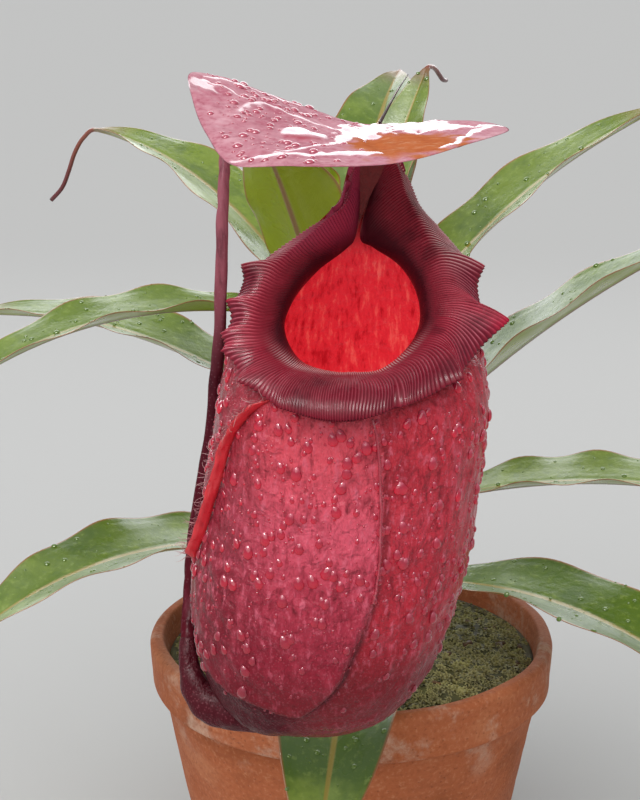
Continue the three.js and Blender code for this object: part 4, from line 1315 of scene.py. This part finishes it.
def collar_arch(share, steps):
    """The collar's upper face, inner edge to outer edge, with its normals and outward directions."""
    t = spline_by_length(MOUTH[:, 3:6], share, closed=True)
    inner, crest, outer, along, out, up = mouth_at(t)
    tooth = tooth_reach(share)[:, None]
    outer = outer + out * tooth + up * COLLAR["tooth_lift"] * tooth
    bend = COLLAR["round"]
    inner, crest, outer, along, out, up = (v[:, None] for v in (inner, crest, outer, along, out, up))
    w = np.linspace(0, 1, steps + 1)
    rising = bezier(inner, inner + up * bend * dot(crest - inner, up),
                    crest - out * bend * dot(crest - inner, out), crest, w)
    falling = bezier(crest, crest + out * bend * dot(outer - crest, out),
                     outer + up * bend * dot(crest - outer, up), outer, w)
    points = np.concatenate([rising, falling[:, 1:]], 1)
    normal = unit(np.cross(along + 0 * points, np.gradient(points, axis=1)))
    normal = np.where(dot(normal, up) < 0, -normal, normal)
    return points, normal, out


def front_lip(points):
    """1 at the collar's low front, which is a smooth lip, and 0 further back."""
    return smooth(-6, -30, points[..., 1]) * smooth(60, 25, points[..., 2])


def collar_marks(rows, across, places):
    """Where the collar's colours change: lip, upper margin, neck, teeth, and the folds between them,
    which get painted shadow.
    """
    x, _, z = np.moveaxis(rows, -1, 0)
    front = front_lip(rows)
    # The teeth are read a little further round, so that the fold's painted shadow falls below each
    # tooth.
    tooth = tooth_reach(places - np.where(places < 0.5, *COLLAR["tooth_shade"]))
    return {
        "front": front,
        "margin": smooth(57, 68, z),
        "neck": smooth(66, 72, z) * smooth(0.15, 0.1, across),
        "left_neck": smooth(5, 0, x) * smooth(60, 72, z) * smooth(-0.4, 0.4, across),
        "tip": smooth(1.5, 5, tooth) * smooth(0.6, 0.95, across),
        "fold": smooth(3.2, 1, tooth) * smooth(0.5, 0.8, across) * (1 - 0.7 * front),
    }


def make_collar(material):
    """The collar as one closed ring: its ribbed upper face, and a plain under face."""
    columns = COLLAR["ribs"] * COLLAR["per_rib"]
    share, fineness = rib_places(columns)
    points, normal, out = collar_arch(share, COLLAR["across"] // 2)
    across = np.linspace(0, 1, points.shape[1])
    places = gathered(share, across)
    points, normal = read_again(points, share, places), unit(read_again(normal, share, places))
    front = front_lip(points)
    ribbed = mix(smooth(0.14, 0.46, across), smooth(0, 0.06, across), front)
    rib = 0.5 + 0.5 * np.cos(2 * math.pi * np.arange(columns) / COLLAR["per_rib"])
    random = np.random.default_rng(12)
    strength = np.repeat(random.uniform(0.65, 1.15, COLLAR["ribs"]), COLLAR["per_rib"])
    strength = np.roll(strength, COLLAR["per_rib"] // 2)
    height = COLLAR["rib"] * (rib ** 1.2 * strength * fineness ** -0.6)[:, None] * ribbed
    height = height * np.sin(math.pi * np.clip(across, 0.03, 0.96)) ** 0.3
    edge = rib[:, None] * (smooth(0.82, 1, across) - 0.9 * front * smooth(0.12, 0, across))
    upper = points + normal * height[..., None] + out * (COLLAR["edge_rib"] * edge)[..., None]

    below = np.arange(2, points.shape[1] - 2, 2)[::-1]
    depth = COLLAR["thickness"] * np.sin(math.pi * across[below]) ** 0.5
    lower = points[:, below] - normal[:, below] * depth[:, None]
    rows = np.concatenate([upper, lower], 1)
    across = np.append(across, across[below])
    places = np.concatenate([places, places[:, below]], 1)
    ribbed = np.concatenate([ribbed, np.zeros((columns, len(below)))], 1)
    marks = {"rib": rib[:, None] * ribbed, "across": across, **collar_marks(rows, across, places)}
    rows = with_marks(rows + PITCHER, *marks.values())
    collar = make_piece("ribbed_collar", closed_skin(rows, ring=True), material, marks)
    add_to_plant(collar, "pitcher_collar")


# ---- the pitcher: cup and foot ----

def height_share(v):
    """Share of the cup's height at a share of its rows."""
    share = np.where(v < POLE_SHARE, v ** 2 / (2 * POLE_SHARE), v - POLE_SHARE / 2)
    return share / (1 - POLE_SHARE / 2)


def x_at_height(points, z):
    line = spline(points, np.linspace(0, 1, 201))
    return np.interp(z, line[:, 1], line[:, 0])


def around_at(t):
    """The cup's direction, seen from above, at places counted round the mouth's stations."""
    return np.radians(np.interp(t % 1 * len(MOUTH), np.arange(len(MOUTH) + 1), [*MOUTH[:, 9], 360]))


def plain_skin(t, v):
    """The cup's plain outer skin: t goes round the mouth's stations, v from the foot to the rim."""
    _, crest, _, _, _, up = mouth_at(t)
    rim = crest - up * CUP["below_crest"]
    z = mix(CUP["foot"], rim[..., 2], height_share(v))
    climb = np.clip((z - CUP["shoulder"]) / (rim[..., 2] - CUP["shoulder"]), 0, 1)
    neck = smooth(CUP["neck_from"], CUP["neck_to"], rim[..., 2])
    turn_in = mix(1 - np.sqrt(1 - climb ** 2.2), climb ** 1.15, neck)
    angle = around_at(t)
    right, back = np.sin(angle), -np.cos(angle)
    power = CUP["squareness"]
    square = (np.abs(right) ** power + np.abs(back) ** power) ** (-1 / power)
    reach = x_at_height(CUP_PROFILE, z) * square
    x = mix(x_at_height(CUP_AXIS, z) + reach * right, rim[..., 0], turn_in)
    y = mix(reach * CUP["depth_share"] * back, rim[..., 1], turn_in)
    return np.stack([x, y, z], -1)


def plain_normal(t, v):
    sideways = plain_skin(t + NEARBY, v) - plain_skin(t - NEARBY, v)
    above, below = np.minimum(v + NEARBY, 1), np.maximum(v - NEARBY, 0)
    normal = unit(np.cross(sideways, plain_skin(t, above) - plain_skin(t, below)))
    return np.where((v < 1e-6)[..., None], -UP, normal)


def panel_border_distance(points):
    """Distance to the front panel's border, seen from the front, above zero on the panel."""
    border = spline(PANEL_BORDER, np.linspace(0, 1, 121))
    flat = points[..., [0, 2]].reshape(-1, 2)
    away = np.linalg.norm(flat[:, None] - border, axis=2)
    nearest = away.argmin(1)
    after, before = np.minimum(nearest + 1, len(border) - 1), np.maximum(nearest - 1, 0)
    heading = border[after] - border[before]
    offset = flat - border[nearest]
    side = heading[:, 1] * offset[:, 0] - heading[:, 0] * offset[:, 1]
    return (np.sign(side) * away.min(1)).reshape(points.shape[:-1])


def cup_skin(t, v, detail=0.0):
    """The cup's outer skin with its front panel, its normals, its panel mark, and a mark for
    painted shade along the panel's crease.
    """
    points = plain_skin(t, v)
    normal = plain_normal(t, v)
    distance = panel_border_distance(points)
    front = smooth(5, -15, points[..., 1])
    z = points[..., 2]
    panel = front * smooth(-0.8, 1.6, distance)
    beside = smooth(-22, -34, points[..., 0]) * smooth(-50, -68, z) * front
    low = np.maximum(panel, PANEL["corner_share"] * beside)
    lift = panel * PANEL["lift"] + low * PANEL["foot_lift"] * smooth(-25, -70, z)
    seam = PANEL["seam_height"] * bell(distance, PANEL["seam_width"]) * front * smooth(-62, -48, z)
    lumps = CUP["lumps"] * waves(points * (1, 1, 0.6), 13, 1)
    lumps = lumps + CUP["small_lumps"] * waves(points * (1, 1, 0.5), 5, 2)
    fade = smooth(-107, -96, z) * smooth(1, 0.93, v)
    lift = lift + detail * (seam + lumps * fade)
    # Painted shade: a mark for a dark line just outside the panel's border, where the crease is.
    beyond = bell(distance - PANEL["crease_at"], PANEL["crease_width"])
    crease_shade = front * beyond * mix(0.6, 1, smooth(-35, -62, z)) * smooth(26, 10, z)
    return points + normal * lift[..., None], normal, panel, crease_shade


def horn_radius(share):
    return spline(np.array(HORN_RADII)[:, None], share)[:, 0]


def make_cup(material):
    """The cup's outer and inner skins as one closed skin, joined by the rim, and the foot's horn."""
    angle = np.linspace(0, 2 * math.pi, CUP["around"], endpoint=False)
    stations = np.radians([*MOUTH[:, 9], 360])
    t = np.interp(angle, stations, np.arange(len(stations)) / len(MOUTH))
    rise = np.linspace(0.02, 1, CUP["outer_rows"])[:, None]
    fall = np.linspace(1, 0.03, CUP["inner_rows"])[:, None]
    outer, _, panel, crease_shade = cup_skin(*np.broadcast_arrays(t, rise), detail=1.0)
    skin, normal, _, _ = cup_skin(*np.broadcast_arrays(t, fall))
    inner = skin - normal * CUP["wall"]
    wet = smooth(-98, -30, outer[..., 2]) ** 0.7 * smooth(0.99, 0.93, rise)
    rows = np.concatenate([
        with_marks(outer, 0.0, panel, crease_shade, wet),
        with_marks(inner, 1.0, 0.0, 0.0, 0.0),
    ])
    horn = tube_rows(HORN_LINE, horn_radius, HORN["sides"], HORN["rows"])[..., :3]
    horn = swollen(horn, HORN["lumps"] * waves(horn, 7, 8))
    points, faces = joined(closed_skin(rows), closed_skin(with_marks(horn, 0.0, -1.0, 0.0, 0.0)))
    points[:, :3] += PITCHER
    cup = make_piece("pitcher_cup", (points, faces), material, ("inside", "panel", "crease_shade", "wet"))
    add_to_plant(cup, "pitcher_body")
    return cup


# ---- the pitcher: lid, spur and wings ----

def lid_height(x, y):
    """Height of the lid's middle layer at places seen from above."""
    across = np.clip((LID["lobe_from"] - x) / LID["lobe_width"], 0, 1.2)
    lobe = across ** 1.25 * smooth(-52, 36, y)
    right = LID["right_rise"] * smooth(5, 50, x) + LID["back_rise"] * smooth(-10, 33, y)
    left_front = LID["left_drop"] * smooth(-20, -45, x) * smooth(-20, -50, y)
    front = left_front + LID["front_drop"] * smooth(-35, -62, y)
    return LID["level"] + right + LID["lobe"] * lobe - front - LID["tip_drop"] * smooth(-40, -57, x)


def film_mark(x, y):
    """How much of the lid is under a wet film at places seen from above, 0 to 1."""
    place = np.stack([x, y], -1)
    grain = waves(with_marks(place, 0.0) * (1, 0.6, 1), 5, 61)
    total = np.zeros_like(x)
    for line in LID_FILM:
        fine = spline(line, np.linspace(0, 1, 60))
        away = np.linalg.norm(place[..., None, :] - fine[:, :2], axis=-1)
        nearest = away.argmin(-1)
        half = fine[nearest, 2] * (1 + 0.3 * grain)
        total = np.maximum(total, smooth(half + 0.6, half - 0.3, away.min(-1)))
    return total


def from_middle(oval, x, y):
    """How far places lie from an oval's middle, 1 on its edge."""
    return np.hypot((x - oval["x"]) / oval["half_length"], (y - oval["y"]) / oval["half_width"])


def make_lid(material):
    """The lid's upper and under side as one closed skin, with its film, its pool of water with painted
    shade in front, and warm patch.
    """
    middle = np.array(LID["middle"], float)
    edge = spline(LID_EDGE, np.linspace(0, 1, LID["around"], endpoint=False), closed=True)
    reach = np.append(np.linspace(0.01, 1, LID["rings"]), np.linspace(1, 0.01, LID["rings"])[1:])
    upper = np.append(np.ones(LID["rings"]), np.zeros(LID["rings"] - 1))[:, None]
    rows = middle + (edge - middle) * reach[:, None, None]
    reach = reach[:, None]
    x, y, flat = rows[..., 0], rows[..., 1], rows * (1, 1, 0)
    pool = from_middle(PUDDLE, x, y)
    film = film_mark(x, y) * upper
    half = LID["thickness"] / 2 * np.sqrt(1 - reach ** 4)
    inner = smooth(1, 0.9, reach)
    ripples = LID["ripples"] * waves(flat, 17, 51) + LID["small_ripples"] * waves(flat, 7, 52)
    keel = LID["keel"] * bell(x - 6 + 0.1 * y, 2.2) * smooth(-50, 10, y) * (1 - upper)
    hollow = LID["hollow"] * bell(x - 4 + 0.1 * y, 3.5) * upper
    rows[..., 2] = lid_height(x, y) + half * (2 * upper - 1) + (ripples - keel - hollow) * inner
    rows[..., 2] += LID["film"] * film * inner
    rows[..., 2] += upper * PUDDLE["height"] * np.sqrt(np.clip(1 - pool ** 2, 0, 1))

    across = from_middle(WARM_PATCH, x, y) + 0.14 * waves(flat, 11, 53)
    warm = upper * (1 - film) * smooth(1.15, 0.75, across)
    ahead = (PUDDLE["y"] - y) / PUDDLE["half_width"]
    # Painted shade: a red crescent on the front of the pool of water, below its glossy top.
    puddle_shade = upper * smooth(1.05, 0.7, pool) * smooth(0.2, 0.75, ahead)
    film = np.maximum(film, upper * smooth(1.05, 0.8, pool) * smooth(0.5, 0.1, ahead))
    wet = upper * smooth(0.98, 0.93, reach) * (1 - film) * smooth(10, -25, x) * smooth(1, 1.15, pool)
    rows = with_marks(rows + PITCHER, upper, film, warm, puddle_shade, wet)
    marks = ("top", "film", "warm", "puddle_shade", "wet")
    lid = make_piece("pitcher_lid_blade", closed_skin(rows), material, marks)
    add_to_plant(lid, "pitcher_lid")
    return lid


def make_spur(material):
    rows = tube_rows(SPUR_LINE, lambda share: mix(0.65, 0.18, share), 14, 50)[..., :3]
    spur = make_piece("lid_spur", closed_skin(rows + PITCHER), material)
    add_to_plant(spur, "pitcher_spur")


def edge_guide(name, edge, normal):
    """A bare line along a wing's free edge, for its hairs, with the way that they stand."""
    mesh = bpy.data.meshes.new(name)
    links = [(k, k + 1) for k in range(len(edge) - 1)]
    mesh.from_pydata(((edge + PITCHER) * MM).tolist(), links, [])
    outward = mesh.attributes.new("out", "FLOAT_VECTOR", "POINT")
    outward.data.foreach_set("vector", normal.astype(np.float32).ravel())
    guide = put_in_scene(name, mesh)
    TEMPLATES.append(guide)
    return guide


def make_wing(name, material, hair, hair_finish):
    """A ribbon of thin tissue standing on the cup, with hairs along its free edge."""
    wing = WINGS[name]
    reach = wing["reach"]
    share = np.linspace(0, 1, 90)
    route = spline(wing["line"], share)
    t = route[:, 0] / len(MOUTH)
    _, crest, _, _, _, up = mouth_at(t)
    rim = crest[:, 2] - CUP["below_crest"] * up[:, 2]
    v = (route[:, 1] - CUP["foot"]) / (rim - CUP["foot"]) * (1 - POLE_SHARE / 2) + POLE_SHARE / 2
    points, normal, _, _ = cup_skin(t, v)
    side = unit(np.cross(normal, UP))
    full = reach * smooth(-0.02, 0.12, share) * smooth(1.02, 0.96, share)
    wavy = 0.35 * np.sin(share * 34) + 0.2 * np.sin(share * 71 + 1)
    half_thick, stands_off = 0.27 + 0.1 * reach, 0.5

    def line_at(across, height):
        sideways = across * half_thick + wavy * height * reach / 4
        return points + side * sideways[:, None] + normal * (stands_off + height * full)[:, None]

    rows = np.stack([line_at(across, height) for across, height in WING_SECTION], 1)
    ribbon = make_piece(name + "_ribbon", closed_skin(rows + PITCHER), material)
    add_to_plant(ribbon, name)
    fringe = grown(name + "_fringe", FRINGE, {
        "Edge": edge_guide(name + "_edge", line_at(0, 1), normal), "Shape": hair,
        "Material": hair_finish, "Spacing": wing["spacing"] * MM, "Smallest": wing["hairs"][0],
        "Largest": wing["hairs"][1], "Sway": wing["sway"], "Seed": wing["seed"]})
    add_to_plant(fringe, name)


# ---- drops and hairs ----

def drop_skin():
    """A hanging drop, 1 mm wide: round below, drawn out above, flat where it sits on the flesh."""
    rings, around, longer_above, longer_below, taper = 6, 9, 1.5, 1.1, 0.45
    shift, height, sunk = 0.08, 0.34, 0.06
    rows = []
    for step in range(rings):
        lift = math.sin(math.pi / 2 * (step + 0.4) / rings)
        size = math.cos(math.pi / 2 * (step + 0.4) / rings)
        ring = []
        for k in range(around):
            angle = 2 * math.pi * k / around
            x, y = 0.5 * math.cos(angle), 0.5 * math.sin(angle)
            y *= longer_above if y > 0 else longer_below
            x *= 1 - taper * max(y, 0)
            ring.append((x * size, y * size + shift, height * lift - sunk, 0.0))
        rows.append(ring)
    rows = np.array(rows)
    low, high = rows[..., 1].min(), rows[..., 1].max()
    rows[..., 3] = (high - rows[..., 1]) / (high - low)
    return closed_skin(rows)


def bead_skin():
    """A round bead of water, 1 mm wide, for level surfaces."""
    rings = 5
    steps = (np.arange(rings)[:, None, None] + 0.4) / rings * math.pi / 2
    rows = np.cos(steps) * 0.5 * unit_circle(8) + (0.3 * np.sin(steps) - 0.05) * UP
    return closed_skin(with_marks(rows, 0.5))


def hair_skin():
    """A thin bent hair, 1 mm long."""
    line = [(0, 0, -0.06), (0.02, 0, 0.3), (0.1, 0.02, 0.62), (0.26, 0.04, 0.86), (0.42, 0.02, 0.95)]
    return closed_skin(tube_rows(line, lambda share: mix(0.03, 0.008, share), 4, 7))


def make_water(cup, lid, leaves):
    """Hanging drops on the cup, and beads on the cup, the lid and the leaves."""
    drop = template("drop", drop_skin(), "fall")
    bead = template("bead", bead_skin(), "fall")
    lowest = (PITCHER[2] + CUP["foot"]) * MM
    red_water = water_material("water on the cup", "d66c80", "ae2840", "e21e3a", "7c2030", lowest)
    pink_water = water_material("water on the lid", "d490a0", "b85468", "c86478", "b85468")
    green_water = water_material("water on leaves", "6c8838", "506c28", "7c963c", "506c28")
    drops = scatter("drops_on_cup", cup, drop, red_water, 44000.0, (1.0, 4.2), 2.0, 0.5, 3)
    add_to_plant(drops, "pitcher_body")
    fine = scatter("fine_drops_on_cup", cup, bead, red_water, 42000.0, (0.35, 1.1), 1.4, 3.14, 4)
    add_to_plant(fine, "pitcher_body")
    beads = scatter("beads_on_lid", lid, bead, pink_water, 60000.0, (0.8, 3.6), 1.8, 3.14, 6)
    add_to_plant(beads, "pitcher_lid")
    for index, (node, leaf) in enumerate(leaves.items()):
        name = f"beads_on_leaf_{index + 1:02d}"
        beads = scatter(name, leaf, bead, green_water, 9000.0, (0.8, 3.0), 3.0, 3.14, 60 + index)
        add_to_plant(beads, node)


# ---- scene ----

def make_floor():
    size = 30.0
    mesh = bpy.data.meshes.new("floor")
    corners = [(-size, -size, 0), (size, -size, 0), (size, size, 0), (-size, size, 0)]
    mesh.from_pydata(corners, [], [(0, 1, 2, 3)])
    finish = Finish("pale floor", colour=(0.58, 0.58, 0.57, 1.0), roughness=0.7, specular=0.2)
    mesh.materials.append(finish.material)
    floor = put_in_scene("floor", mesh)


def add_softbox(name, place, size, watts, colour):
    """A large even lamp that faces the pitcher. It gives gloss, and no light on matt surfaces."""
    data = bpy.data.lights.new(name, "AREA")
    data.shape, data.size, data.size_y = "RECTANGLE", size[0], size[1]
    data.energy, data.color = watts, colour
    light = put_in_scene(name, data)
    light.location = place
    middle = Vector((PITCHER * MM).tolist())
    light.rotation_euler = (middle - Vector(place)).to_track_quat("-Z", "Y").to_euler()
    light.visible_camera = False
    light.visible_diffuse = False


def make_lights():
    sky = bpy.data.lights.new("even light from above", "SUN")
    sky.energy, sky.angle, sky.color = 2.35, math.radians(75), (1.0, 0.985, 0.96)
    lamp = put_in_scene("even light from above", sky)
    lamp.rotation_euler = Vector((-0.25, -0.62, 0.8)).to_track_quat("Z", "Y").to_euler()
    add_softbox("softbox above", (-0.35, -0.55, 1.1), (0.5, 0.4), 15.0, (1.0, 0.99, 0.97))
    add_softbox("softbox behind", (0.05, 1.6, 1.12), (3.0, 1.26), 30.0, (0.97, 0.99, 1.0))
    world = bpy.data.worlds.new("studio")
    world.use_nodes = True
    background = world.node_tree.nodes["Background"]
    background.inputs["Color"].default_value = (0.92, 0.95, 1.0, 1.0)
    background.inputs["Strength"].default_value = 0.42
    bpy.context.scene.world = world


def make_camera():
    """The photograph's view: a long lens looking a little down on the pitcher.

    A point of the pitcher, aim, is seen at aim_pixel in a picture whose middle is middle_pixel.
    """
    data = bpy.data.cameras.new("camera")
    data.sensor_fit, data.sensor_height, data.lens = "VERTICAL", 24.0, 48.0
    pitch, distance, focal_pixels = math.radians(15), 0.56, 1600.0
    aim, aim_pixel, middle_pixel = Vector((-0.01, -0.185, 0.3)), (335, 440), (320, 400)
    forward = Vector((0, math.cos(pitch), -math.sin(pitch)))
    above = Vector((0, math.sin(pitch), math.cos(pitch)))
    right = Vector((1, 0, 0))
    ray = (forward + right * (aim_pixel[0] - middle_pixel[0]) / focal_pixels
           - above * (aim_pixel[1] - middle_pixel[1]) / focal_pixels)
    camera = put_in_scene("camera", data)
    camera.location = aim - ray * distance
    camera.rotation_euler = (math.pi / 2 - pitch, 0, 0)
    bpy.context.scene.camera = camera


make_camera()
make_pot(clay_material())
make_moss(
    mossy_material("moss bed", "4c4a24", "2e2c18", "6c6a38", "5c5030"),
    mossy_material("moss sprigs", "79733f", "575c28", "a8a45a", "c9c088"),
    mossy_material("bark chips", "5e4026", "3c2818", "86623e", "5e4026"))
make_stem(bark_material())
leaves = make_leaves(leaf_material())
make_tendril(tendril_material())
cup = make_cup(cup_material())
make_collar(collar_material())
lid = make_lid(lid_material())
make_spur(ribbon_material("spur", "341a1c", "1c0e10", "5a3032"))
hair, hair_finish = template("hair", hair_skin(), "tip"), hair_material()
make_wing("wing_left", ribbon_material("wing", "e22a36", "be1c2a", "ee5056"), hair, hair_finish)
make_wing("wing_right", ribbon_material("seam", "b03446", "741424", "c8606f"), hair, hair_finish)
make_water(cup, lid, leaves)
for shape in TEMPLATES:
    bpy.data.objects.remove(shape)
make_floor()
make_lights()
bpy.context.scene.view_settings.view_transform = "Standard"
